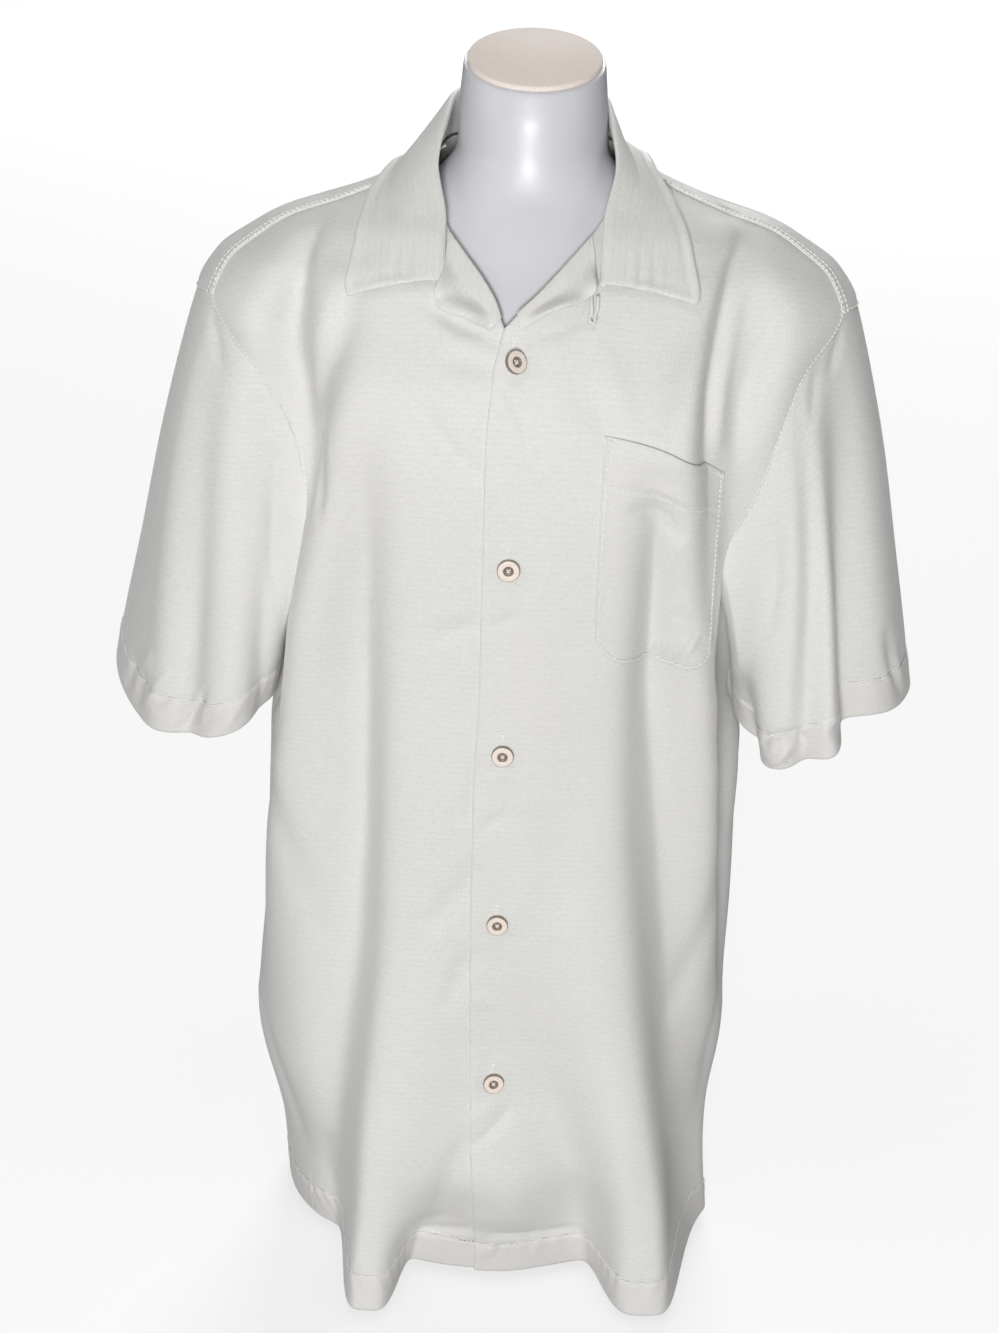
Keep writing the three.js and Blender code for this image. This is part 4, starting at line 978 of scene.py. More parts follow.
@dataclass(frozen=True)
class Thread(Finish):
    """Twisted sewing thread."""

    colour: Colour = (0.95, 0.94, 0.90, 1)
    shade: Colour = (0.80, 0.78, 0.73, 1)

    def dress(self, bench: Bench) -> None:
        """Adds the twist and the colour."""
        place = bench.node("ShaderNodeTexCoord").outputs["Object"]
        fibre = bench.noise(place, (2600, 2600, 2600), 2.0)
        bench.set(Base_Color=bench.blend(bench.between(fibre, 0.35, 0.65), self.shade, self.colour))
        bench.set(Roughness=bench.math("ADD", bench.math("MULTIPLY", fibre, 0.2), 0.4))
        bench.set(Sheen_Weight=0.3)
        bench.bump(fibre, 0.00012)


@dataclass(frozen=True)
class Horn(Finish):
    """Pale mottled button, darker in its well and round its rim."""

    face: Colour = (0.88, 0.77, 0.69, 1)
    streak: Colour = (0.82, 0.71, 0.62, 1)
    well: Colour = (0.24, 0.185, 0.145, 1)
    rim: Colour = (0.26, 0.21, 0.17, 1)

    def dress(self, bench: Bench) -> None:
        """Adds the rings of colour and the polish."""
        place = bench.node("ShaderNodeTexCoord").outputs["Object"]
        cloud = bench.noise(place, (420, 420, 420), 3.0)
        face = bench.blend(bench.between(cloud, 0.45, 0.75), self.face, self.streak)
        reach = bench.node("ShaderNodeAttribute", attribute_name="reach").outputs["Fac"]
        wander = bench.math("MULTIPLY", bench.math("SUBTRACT", cloud, 0.5), 0.06)
        reach = bench.math("ADD", reach, wander)
        tone = bench.blend(bench.between(reach, 0.44, 0.50), self.well, face)
        tone = bench.blend(bench.between(reach, 0.91, 0.96), tone, self.rim)
        bench.set(Base_Color=tone, Roughness=bench.math("ADD", bench.math("MULTIPLY", cloud, 0.25), 0.22))
        bench.set(Coat_Weight=0.25, Coat_Roughness=0.25)
        bench.bump(bench.noise(place, (900, 900, 900), 2.0), 0.00003)


@dataclass(frozen=True)
class Gloss(Finish):
    """Smooth glossy white of the dress form."""

    colour: Colour = (0.68, 0.68, 0.71, 1)
    shade: Colour = (0.63, 0.63, 0.66, 1)

    def dress(self, bench: Bench) -> None:
        """Adds the faint mottling and the polish."""
        place = bench.node("ShaderNodeTexCoord").outputs["Object"]
        cloud = bench.noise(place, (14, 14, 9), 3.0)
        bench.set(Base_Color=bench.blend(bench.between(cloud, 0.3, 0.7), self.shade, self.colour))
        smear = bench.noise(place, (60, 60, 25), 3.0)
        bench.set(Roughness=bench.math("ADD", bench.math("MULTIPLY", smear, 0.12), 0.38))
        bench.set(Coat_Weight=0.3, Coat_Roughness=0.3)
        bench.bump(bench.noise(place, (220, 220, 220), 2.0), 0.00002)


@dataclass(frozen=True)
class Felt(Finish):
    """Matte taupe of the form's cap."""

    colour: Colour = (0.90, 0.80, 0.74, 1)
    shade: Colour = (0.80, 0.71, 0.65, 1)

    def dress(self, bench: Bench) -> None:
        """Adds the fine grain."""
        place = bench.node("ShaderNodeTexCoord").outputs["Object"]
        grain = bench.noise(place, (700, 700, 700), 4.0)
        bench.set(Base_Color=bench.blend(bench.between(grain, 0.3, 0.7), self.shade, self.colour))
        bench.set(Roughness=bench.math("ADD", bench.math("MULTIPLY", grain, 0.2), 0.7))
        bench.bump(grain, 0.0001)


@dataclass(frozen=True)
class Backdrop(Finish):
    """Plain pale floor."""

    colour: Colour = (0.27, 0.27, 0.275, 1)
    shade: Colour = (0.25, 0.25, 0.255, 1)
    glow: float = 0.72

    def dress(self, bench: Bench) -> None:
        """Adds a faint unevenness."""
        place = bench.node("ShaderNodeTexCoord").outputs["Object"]
        cloud = bench.noise(place, (0.6, 0.6, 0.6), 2.0)
        bench.set(Base_Color=bench.blend(cloud, self.shade, self.colour), Roughness=0.9)
        seen = bench.node("ShaderNodeLightPath").outputs["Is Camera Ray"]
        bench.set(Specular_IOR_Level=0.1, Emission_Color=(1, 1, 1, 1))
        bench.set(Emission_Strength=bench.math("MULTIPLY", seen, self.glow))


SILK = Silk("ivory_silk")
THREAD = Thread("ivory_thread")
HORN = Horn("pale_horn")
GLOSS = Gloss("glossy_white")
FELT = Felt("taupe_cap")
BACKDROP = Backdrop("pale_floor")


def settle(
    piece: bpy.types.Object, finish: Finish, slot: Slot, nodes: Sequence[str] = ()
) -> bpy.types.Object:
    """Dresses a piece, puts it on the body and lets it stand for its solids.

    Args:
        piece: The piece.
        finish: What it is made of.
        slot: The record's slot for it; not used.
        nodes: The solids that it stands for.

    Returns:
        The piece.
    """
    piece.data.materials.clear()
    piece.data.materials.append(finish.material())
    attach(piece, BODY)
    if nodes:
        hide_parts(*nodes)
    LOG.info("%s: %d faces", piece.name, len(piece.data.polygons))
    return piece


# ---------- Sewing


def read_along(values: Array, lengths: Array, where: Array) -> Array:
    """Returns rows of values read at lengths along a line."""
    columns = range(values.shape[1])
    return np.stack([np.interp(where, lengths, values[:, k]) for k in columns], axis=1)


@dataclass
class StitchRow:
    """A line of machine stitches."""

    PROBE: ClassVar[float] = 0.6

    points: Array
    normals: Array
    pitch: float = 3.1
    length: float = 2.4

    def places(self) -> tuple[Array, Array, Array]:
        """Returns the stitches' middles, directions and outward directions."""
        lengths = run_lengths(self.points, 0)
        count = max(int(lengths[-1] / self.pitch), 1)
        at = (np.arange(count) + 0.5) * lengths[-1] / count
        ahead = read_along(self.points, lengths, at + self.PROBE)
        run = unit(ahead - read_along(self.points, lengths, at - self.PROBE))
        middle = read_along(self.points, lengths, at)
        return middle, run, unit(read_along(self.normals, lengths, at))


@dataclass
class Sewing:
    """Rows of stitches, joined as one piece."""

    radius: float = 0.42
    sink: float = 0.12
    rows: list[StitchRow] = field(default_factory=list)

    def add(self, points: Array, normals: Array, pitch: float = 3.1, length: float = 2.4) -> None:
        """Adds a row along a line of points."""
        self.rows.append(StitchRow(np.asarray(points), np.asarray(normals), pitch, length))

    def build(self, name: str) -> bpy.types.Object:
        """Returns all the stitches as one mesh object."""
        around, reach = 5, np.array([-0.5, -0.3, 0.3, 0.5])
        fat = np.array([0.45, 1.0, 1.0, 0.45])
        turn = np.linspace(0, 2 * math.pi, around, endpoint=False)
        base_faces: list[list[int]] = []
        for j in range(3):
            for i in range(around):
                k = (i + 1) % around
                low, high = j * around, (j + 1) * around
                base_faces.append([low + i, low + k, high + k, high + i])
        base_faces.append(list(range(around))[::-1])
        base_faces.append([3 * around + i for i in range(around)])
        vertices, faces = [], []
        for row in self.rows:
            middle, run, normal = row.places()
            aside = unit(np.cross(normal, run))
            up = np.cross(run, aside)
            for m, r, a, u in zip(middle, run, aside, up):
                centre = m + u * self.sink
                start = len(vertices) * 4 * around
                shape = centre + r * (reach[:, None, None] * row.length)
                shape = shape + self.radius * fat[:, None, None] * (
                    a * np.cos(turn)[None, :, None] + u * np.sin(turn)[None, :, None]
                )
                vertices.append(shape.reshape(-1, 3))
                faces += [[k + start for k in face] for face in base_faces]
        made = mesh_object(name, np.concatenate(vertices) * MM, faces)
        return settle(made, THREAD, Slot.CLOTH)


# ---------- The shirt's body


def levels_between(*stops: tuple[float, float]) -> Array:
    """Returns heights from the first stop down to the last.

    Args:
        *stops: (height, the spacing of the heights down from it) pairs, from the top.
    """
    parts = []
    for (top, pitch), (low, _) in zip(stops, stops[1:]):
        count = max(round((top - low) / pitch), 1)
        parts.append(np.linspace(top, low, count, endpoint=False))
    return np.concatenate([*parts, [stops[-1][0]]])


@dataclass
class Hem:
    """A turned and stitched hem: its depth and thickness, and how the stitching pulls it."""

    depth: float = 24.0
    wall: float = 1.9
    swell: float = 0.6
    groove: float = 1.1
    pucker: float = 0.4

    def lift(self, far: Array, u: Array) -> Array:
        """Returns how far the hem stands out, by distances from its edge and along it."""
        inside = 1 - smooth_step(self.depth - 1.2, self.depth + 0.8, far)
        gully = np.exp(-(((far - self.depth) / 1.3) ** 2))
        ripple = np.sin(u / 1.9 + 1.7 * np.sin(u / 17)) * np.exp(-(((far - self.depth + 4) / 9) ** 2))
        return self.swell * inside - self.groove * gully + self.pucker * ripple

    def thickness(self, far: Array, plain: float) -> Array:
        """Returns the cloth's thickness, by distances from the hem's edge."""
        return mix(self.wall, plain, smooth_step(self.depth - 1, self.depth + 1, far))

    def band(self, far: Array) -> Array:
        """Returns how much each place belongs to the hem's band."""
        return 1 - smooth_step(self.depth - 0.8, self.depth + 0.4, far)


def below_underarm(rows: Sequence[tuple[float, float]]) -> Line:
    """Returns an armhole's height at each angle, from its table, below the underarm."""
    return Line([(angle, z) for z, angle in rows if z <= UNDERARM_Z])


def mirrored(left: Array, middle: float, right: Array) -> Array:
    """Returns one side's values, the middle one, and the other side's in turned order."""
    return np.concatenate([left, [middle], right[::-1]])


@dataclass
class Torso:
    """The fronts, the back and the yoke."""

    wall: float = 1.0
    pitch: float = 3.0
    hem_pitch: float = 1.5
    lap_rise: float = 2.9
    lap_fade: float = 26.0
    edge_wall: float = 1.9
    edge_band: float = 30.0
    yoke_lift: float = 1.1
    yoke_end_lift: float = 0.4
    yoke_lap: float = 1.8
    vent_half: float = 3.0
    front_columns: int = 118
    back_columns: int = 130
    side_columns: int = 27
    yoke_rows: int = 38
    yoke_steps: tuple[int, int, int] = (38, 50, 58)
    hem: Hem = field(default_factory=Hem)
    skin: Skin = field(default_factory=lambda: Skin(BODY_CREASES))

    def __post_init__(self) -> None:
        """Reads the seam tables."""
        self.front_hole = Line(ARMHOLE_FRONT)
        self.back_hole = Line(ARMHOLE_BACK)
        self.yoke_end = Line(YOKE_END)
        self.yoke_seam = Line(YOKE_SEAM)
        self.neckline = {side: Line(rows) for side, rows in NECKLINE.items()}
        self.lap_edge = Line(LAP_EDGE)
        self.front_under = below_underarm(ARMHOLE_FRONT)
        self.back_under = below_underarm(ARMHOLE_BACK)

    def lap_lift(self, angle: Array, z: Array) -> Array:
        """Returns how far the left front rises over the right front."""
        past = np.maximum(0, self.skin.along(angle, z) - UNDERLAP_X)
        return self.lap_rise * np.exp(-((past / self.lap_fade) ** 2))

    def front_edge(self, side: Side, z: Array) -> Array:
        """Returns the angles of a front's middle edge: the lap below the V, the neckline above it."""
        meet = float(self.neckline[side](YOKE_FRONT_Z))
        rise = np.clip((z - LAP_TOP_Z) / (YOKE_FRONT_Z - LAP_TOP_Z), 0, 1) ** 2
        if side is Side.RIGHT:
            lap = mix(UNDERLAP_X, meet, rise)
        else:
            lap = self.lap_edge(z)
        return self.skin.angle_at_x(np.where(z > YOKE_FRONT_Z, self.neckline[side](z), lap), z)

    def front_bound(self, z: Array) -> Array:
        """Returns the angles of a front's outer edge: armhole, then yoke seam."""
        hole = self.front_hole(np.maximum(z, UNDERARM_Z))
        return np.where(z >= YOKE_FRONT_Z, self.yoke_seam(z), hole)

    def _cloth_rows(self, points: Array, z: Array) -> Array:
        """Returns cloth coordinates down the columns, 0 at the underarm's height."""
        down = run_lengths(points, 0)
        row = int(np.argmin(np.abs(z - UNDERARM_Z)))
        return down[row][None, :] - down

    def _side_patch(self, side: Side, z: Array, rows: Line, start: float, u: Array, lift_front: bool) -> Grid:
        """Returns the stretch under the arm: columns from the armhole's line to the side seam.

        Args:
            side: The wearer's side.
            z: The body's heights.
            rows: The underarm curve's height at each angle.
            start: The angle where the stretch begins.
            u: The cloth coordinate of the neighbouring grid at each height, where they join.
            lift_front: Whether cloth coordinates grow away from the joint.

        Returns:
            The grid.
        """
        low = z[z <= UNDERARM_Z]
        share = np.linspace(0, 1, self.side_columns)
        nominal = mix(start, 90.0, share)
        reach = (low - HEM_Z) / (UNDERARM_Z - HEM_Z)
        height = HEM_Z + (rows(nominal)[None, :] - HEM_Z) * reach[:, None]
        height[:, 0] = low
        gap = self.vent_half * np.clip(1 - height / VENT_TOP, 0, 1) / SIDE_MM_A_DEGREE
        sign = 1 if start < 90 else -1
        angle = nominal[None, :] - sign * gap * share[None, :]
        far = height - HEM_Z
        across = np.abs(90 - angle) * SIDE_MM_A_DEGREE
        points = self.skin.point(side.value * angle, height)
        along = run_lengths(points, 1)
        cloth_u = u[z <= UNDERARM_Z][:, None] + (along if lift_front else -along)
        vent = (1 - smooth_step(VENT_TOP, VENT_TOP + 6, height)) * (1 - smooth_step(6.5, 8.5, across))
        lift = self.hem.lift(far, along) + 0.25 * vent
        normals = self.skin.normal(side.value * angle, height)
        points = points + normals * lift[..., None]
        down = run_lengths(points, 0)
        cloth_v = (height[0] - UNDERARM_Z)[None, :] - down
        uv = np.stack([cloth_u, cloth_v], axis=-1)
        wall = np.maximum(self.hem.thickness(far, self.wall), mix(self.wall, 1.7, vent))
        grid = Grid(points, normals, uv, wall, self.hem.band(far))
        return grid.turned() if side.value * sign < 0 else grid

    def front(self, side: Side) -> Shell:
        """Returns a front panel."""
        z = levels_between(
            (764, self.pitch), (YOKE_FRONT_Z, self.pitch), (UNDERARM_Z, self.pitch), (36, self.hem_pitch),
            (HEM_Z, 0),
        )
        edge, bound = self.front_edge(side, z), side.value * self.front_bound(z)
        low, high = (bound, edge) if side is Side.RIGHT else (edge, bound)
        angle, u = self.skin.even_angles(z, low, high, self.front_columns)
        level = z[:, None]
        far = np.broadcast_to(level - HEM_Z, angle.shape)
        lift = self.hem.lift(far, u)
        if side is Side.LEFT:
            lift = lift + self.lap_lift(angle, level)
        from_edge = u - u[:, :1] if side is Side.LEFT else u[:, -1:] - u
        wall = mix(self.edge_wall, self.wall, smooth_step(self.edge_band - 2, self.edge_band, from_edge))
        wall = np.maximum(wall, self.hem.thickness(far, self.wall))
        normals = self.skin.normal(angle, level)
        points = self.skin.point(angle, level) + normals * lift[..., None]
        uv = np.stack([u, self._cloth_rows(points, z)], axis=-1)
        middle = Grid(points, normals, uv, wall, self.hem.band(far))
        start = float(self.front_hole(UNDERARM_Z))
        joint = u[:, -1] if side is Side.LEFT else u[:, 0]
        patch = self._side_patch(side, z, self.front_under, start, joint, side is Side.LEFT)
        return Shell([middle, patch])

    def back(self) -> Shell:
        """Returns the back panel."""
        z = levels_between(
            (YOKE_BACK_Z, self.pitch), (UNDERARM_Z, self.pitch), (36, self.hem_pitch), (HEM_Z, 0)
        )
        bound = self.back_hole(np.maximum(z, UNDERARM_Z))
        angle, u = self.skin.even_angles(z, bound, 360 - bound, self.back_columns)
        level = z[:, None]
        far = np.broadcast_to(level - HEM_Z, angle.shape)
        normals = self.skin.normal(angle, level)
        points = self.skin.point(angle, level) + normals * self.hem.lift(far, u)[..., None]
        uv = np.stack([u, self._cloth_rows(points, z)], axis=-1)
        middle = Grid(points, normals, uv, self.hem.thickness(far, self.wall), self.hem.band(far))
        start = float(self.back_hole(UNDERARM_Z))
        left = self._side_patch(Side.LEFT, z, self.back_under, start, u[:, 0], False)
        right = self._side_patch(Side.RIGHT, z, self.back_under, start, u[:, -1], True)
        return Shell([middle, left, right])

    def yoke_columns(self) -> tuple[Array, Array, Array, Array]:
        """Returns the yoke's columns, from the left front seam round the back to the right one.

        Returns:
            Each column's outer angle and height, its angle at the neck, and its lift.
        """
        fronts, ends, backs = self.yoke_steps
        z_front = np.linspace(764, YOKE_FRONT_Z, fronts, endpoint=False)
        seam = self.yoke_seam(z_front)
        end = np.linspace(YOKE_END[0][0], YOKE_END[-1][0], ends, endpoint=False)
        rear = np.linspace(YOKE_END[-1][0], 180, backs, endpoint=False)
        angle = np.concatenate([seam, end, rear])
        z = np.concatenate([z_front, self.yoke_end(end), np.full(backs, YOKE_BACK_Z)])
        neck = np.concatenate(
            [
                mix(YOKE_NECK[0], YOKE_NECK[1], np.linspace(0, 1, fronts, endpoint=False)),
                mix(YOKE_NECK[1], YOKE_NECK[2], np.linspace(0, 1, ends, endpoint=False)),
                mix(YOKE_NECK[2], YOKE_NECK[3], np.linspace(0, 1, backs, endpoint=False)),
            ]
        )
        k = np.arange(len(angle))
        front_share = 1 - smooth_step(fronts - 3, fronts + 5, k)
        back_share = smooth_step(fronts + ends - 6, fronts + ends + 2, k)
        lift = mix(self.yoke_end_lift, self.yoke_lift, np.maximum(front_share, back_share))
        angle = angle - front_share * self.yoke_lap / YOKE_MM_A_DEGREE
        z = z - back_share * self.yoke_lap
        return (
            mirrored(angle, 180.0, 360 - angle),
            mirrored(z, YOKE_BACK_Z - self.yoke_lap, z),
            mirrored(neck, 180.0, 360 - neck),
            mirrored(lift, self.yoke_lift, lift),
        )

    def yoke(self) -> Shell:
        """Returns the yoke."""
        outer, z_outer, neck, lift = self.yoke_columns()
        t = np.linspace(0, 1, self.yoke_rows)[:, None]
        angle = mix(neck[None, :], outer[None, :], t)
        z = mix(NECK_Z, z_outer[None, :], t)
        edge = smooth_step(0.9, 1.0, t) * 0.35
        normals = self.skin.normal(angle, z)
        points = self.skin.point(angle, z) + normals * (lift[None, :] - edge)[..., None]
        x, y, height = points[..., 0], points[..., 1], points[..., 2]
        uv = np.stack([1.12 * x, 1.15 * y - height * smooth_step(20, 75, y)], axis=-1)
        return Shell([Grid(points, normals, uv, self.wall)])

    def armhole(self, side: Side, count: int) -> tuple[Array, Array]:
        """Returns the armhole's loop: over the shoulder, down the front, under the arm, up the back.

        Args:
            side: The wearer's side.
            count: How many points it has, evenly spaced.

        Returns:
            The points and their outward directions; the first point isn't repeated.
        """
        first, last = YOKE_END[0][0], YOKE_END[-1][0]
        over = np.linspace(90, first, 20, endpoint=False)
        down = np.linspace(YOKE_FRONT_Z, UNDERARM_Z, 50, endpoint=False)
        fore = np.linspace(self.front_hole(UNDERARM_Z), 90, 50, endpoint=False)
        aft = np.linspace(90, self.back_hole(UNDERARM_Z), 40, endpoint=False)
        up = np.linspace(UNDERARM_Z, YOKE_BACK_Z, 40, endpoint=False)
        behind = np.linspace(last, 90, 31)
        angle = np.concatenate([over, self.front_hole(down), fore, aft, self.back_hole(up), behind])
        under = [self.front_under(fore), self.back_under(aft)]
        z = np.concatenate([self.yoke_end(over), down, *under, up, self.yoke_end(behind)])
        turned = side.value * angle
        both = np.concatenate([self.skin.point(turned, z), self.skin.normal(turned, z)], axis=1)
        lengths = run_lengths(both[:, :3], 0)
        at = np.linspace(0, lengths[-1], count + 1)[:-1]
        read = np.stack([np.interp(at, lengths, both[:, k]) for k in range(6)], axis=1)
        return read[:, :3], unit(read[:, 3:])

    def line(self, angle: Array, z: Array, lift: Array | float) -> tuple[Array, Array]:
        """Returns a line of points on the skin, moved out, with their outward directions."""
        normals = self.skin.normal(angle, z)
        return self.skin.point(angle, z) + normals * np.broadcast_to(lift, z.shape)[:, None], normals


# ---------- Sleeves


@dataclass(frozen=True)
class Cuff:
    """A sleeve's hem ring: its middle and half widths, how it is turned in and hangs down, and how its
    front outer quarter stands higher."""

    x: float
    y: float
    z: float
    half_x: float
    half_y: float
    turn_in: float
    out_drop: float
    fore_drop: float
    lift: float


@dataclass(frozen=True)
class SleeveFold:
    """A fold down a sleeve: its turns round the sleeve at the armhole and at the hem, its depth and
    half width, and where it starts."""

    top_turn: float
    hem_turn: float
    depth: float
    width: float
    start: float


CUFFS = {
    Side.RIGHT: Cuff(218, 8, 424, 54, 83, 26, 9, 11, -4),
    Side.LEFT: Cuff(211, 5, 427, 59, 89, 22, 3, 18, 14),
}
SLEEVE_FOLDS = {
    Side.RIGHT: (
        SleeveFold(42, 66, -8, 11, 0.0),
        SleeveFold(26, 46, 2.5, 12, 0.1),
        SleeveFold(56, 100, 2.5, 13, 0.0),
        SleeveFold(82, 126, -4, 10, 0.05),
        SleeveFold(250, 250, -7, 18, 0.3),
        SleeveFold(215, 205, -4, 10, 0.1),
        SleeveFold(310, 318, -4, 10, 0.2),
    ),
    Side.LEFT: (
        SleeveFold(44, 52, -22, 15, 0.0),
        SleeveFold(54, 74, 7, 9, 0.0),
        SleeveFold(66, 90, -8, 9, 0.0),
        SleeveFold(138, 138, -18, 14, 0.5),
        SleeveFold(255, 255, -7, 18, 0.3),
        SleeveFold(220, 208, -4, 10, 0.1),
        SleeveFold(312, 320, -4, 10, 0.2),
    ),
}


@dataclass
class Sleeve:
    """One short sleeve, a tube from the armhole to its hem."""

    LOOP_STEPS: ClassVar[int] = 240
    FINE_LENGTH: ClassVar[float] = 27
    FINE_ROWS: ClassVar[int] = 18
    ROW_PITCH: ClassVar[float] = 2.7

    side: Side
    torso: Torso
    wall: float = 1.0
    girth: float = 470.0
    length: float = 265.0
    columns: int = 208
    start_out: float = 0.34
    start_down: float = 0.94
    start_swell: float = 0.325
    end_out: float = 0.2
    end_down: float = 0.98
    tuck: float = 1.6
    sink: float = 0.8
    under_gap: float = 1.8
    under_from: float = 522.0
    under_fall: float = 32.0
    hem: Hem = field(default_factory=lambda: Hem(pucker=0.25))

    def hem_ring(self, turn: Array) -> Array:
        """Returns the hem's points at turns round it (0 outside, a quarter at the front)."""
        h = CUFFS[self.side]
        s, c = np.sin(turn), np.cos(turn)
        x = h.x - h.turn_in * s + h.half_x * c
        z = h.z - h.out_drop * c - h.fore_drop * s + 2 * h.lift * s * c
        return np.stack([self.side.value * x, h.y - h.half_y * s, z], axis=-1)

    def fold_depth(self, turn: Array, t: Array) -> Array:
        """Returns how far folds and creases push the sleeve out."""
        degrees = np.degrees(turn)
        total = 0.35 * np.sin(5 * turn + 7 * t) * np.sin(2 * turn - 9 * t)
        for fold in SLEEVE_FOLDS[self.side]:
            growth = np.sin(np.clip((t - fold.start) / (1 - fold.start), 0, 1) * math.pi / 2)
            away = (degrees - mix(fold.top_turn, fold.hem_turn, t) + 180) % 360 - 180
            total = total + fold.depth * growth * np.exp(-((away / fold.width) ** 2))
        arc = turn / (2 * math.pi) * self.girth
        for crease in SLEEVE_CREASES[self.side]:
            aside = wrapped(arc - crease.from_along, self.girth)
            total = total + crease_section(crease, aside, -t * self.length)
        return total

    def surface(self, turn: Array, t: Array) -> Array:
        """Returns the sleeve's points.

        Args:
            turn: Turns round the sleeve, one a column.
            t: Shares of the way from the armhole to the hem, one a row.

        Returns:
            Rows by columns of points.
        """
        sign = self.side.value
        loop, normals = self.torso.armhole(self.side, self.LOOP_STEPS)
        middle = loop.mean(axis=0)
        at = turn / (2 * math.pi) * self.LOOP_STEPS
        round_it = np.arange(self.LOOP_STEPS + 1)
        start = read_along(np.concatenate([loop, loop[:1]]), round_it, at)
        out = unit(read_along(np.concatenate([normals, normals[:1]]), round_it, at))
        under = np.clip((self.under_from - start[:, 2]) / self.under_fall, 0, 1)
        end = self.hem_ring(turn)
        length = np.linalg.norm(end - start, axis=1)
        first = start - out * self.sink * (1 - under)[:, None]
        first = first + unit(start - middle) * (self.tuck * (1 - under))[:, None]
        first[:, 0] += sign * self.under_gap * under
        swell = (start[:, 1] - middle[1]) * self.start_swell
        leave = np.stack([sign * self.start_out * length, swell, -self.start_down * length], axis=1)
        arrive = np.array([sign * self.end_out, 0, -self.end_down]) * length[:, None]
        s = t[:, None, None]
        points = (1 + 2 * s) * (1 - s) ** 2 * first + s * (1 - s) ** 2 * leave
        points = points + s * s * (3 - 2 * s) * end + s * s * (s - 1) * arrive
        outward_way = np.stack([sign * np.cos(turn), -np.sin(turn), 0 * turn], axis=-1)
        return points + outward_way * self.fold_depth(turn[None, :], t[:, None])[..., None]

    def rows(self) -> Array:
        """Returns the shares of the sleeve's rows, finer at its hem."""
        break_at = 1 - self.FINE_LENGTH / self.length
        count = round(self.length * break_at / self.ROW_PITCH)
        coarse = np.linspace(0, break_at, count, endpoint=False)
        return np.concatenate([coarse, np.linspace(break_at, 1, self.FINE_ROWS)])

    def shell(self) -> Shell:
        """Returns the sleeve."""
        turn = np.linspace(math.pi, 3 * math.pi, self.columns + 1) % (2 * math.pi)
        t = self.rows()
        points = self.surface(turn[:-1], t)
        order = slice(None, None, -1) if self.side is Side.LEFT else slice(None)
        points = points[:, order]
        normals = grid_normals(points, closed=True)
        down = run_lengths(points, 0)
        far = down[-1:] - down
        steps = np.arange(self.columns + 1) * self.girth / self.columns
        u = np.broadcast_to(steps, (len(t), self.columns + 1))
        points, normals, far = (
            np.concatenate([grid, grid[:, :1]], axis=1) for grid in (points, normals, far)
        )
        points = points + normals * self.hem.lift(far, u)[..., None]
        uv = np.stack([u, far], axis=-1)
        return Shell([Grid(points, normals, uv, self.hem.thickness(far, self.wall), self.hem.band(far))])

    def hem_line(self, far: float) -> tuple[Array, Array]:
        """Returns the line of points a distance up from the hem's edge, with outward directions."""
        turn = np.linspace(0, 2 * math.pi, 361)
        t = np.linspace(1 - 40 / self.length, 1, 24)
        points = self.surface(turn, t)
        down = run_lengths(points, 0)
        from_edge = down[-1:] - down
        line = np.stack(
            [
                [np.interp(far, from_edge[::-1, i], points[::-1, i, k]) for k in range(3)]
                for i in range(len(turn))
            ]
        )
        across = np.gradient(line, axis=0)
        normals = unit(np.cross(across, points[0] - points[-1]))
        side_out = np.stack([self.side.value * np.cos(turn), -np.sin(turn), 0 * turn], axis=-1)
        normals = normals * np.sign(np.sum(normals * side_out, axis=1, keepdims=True))
        return line, normals


# ---------- Collar, lapels and pocket


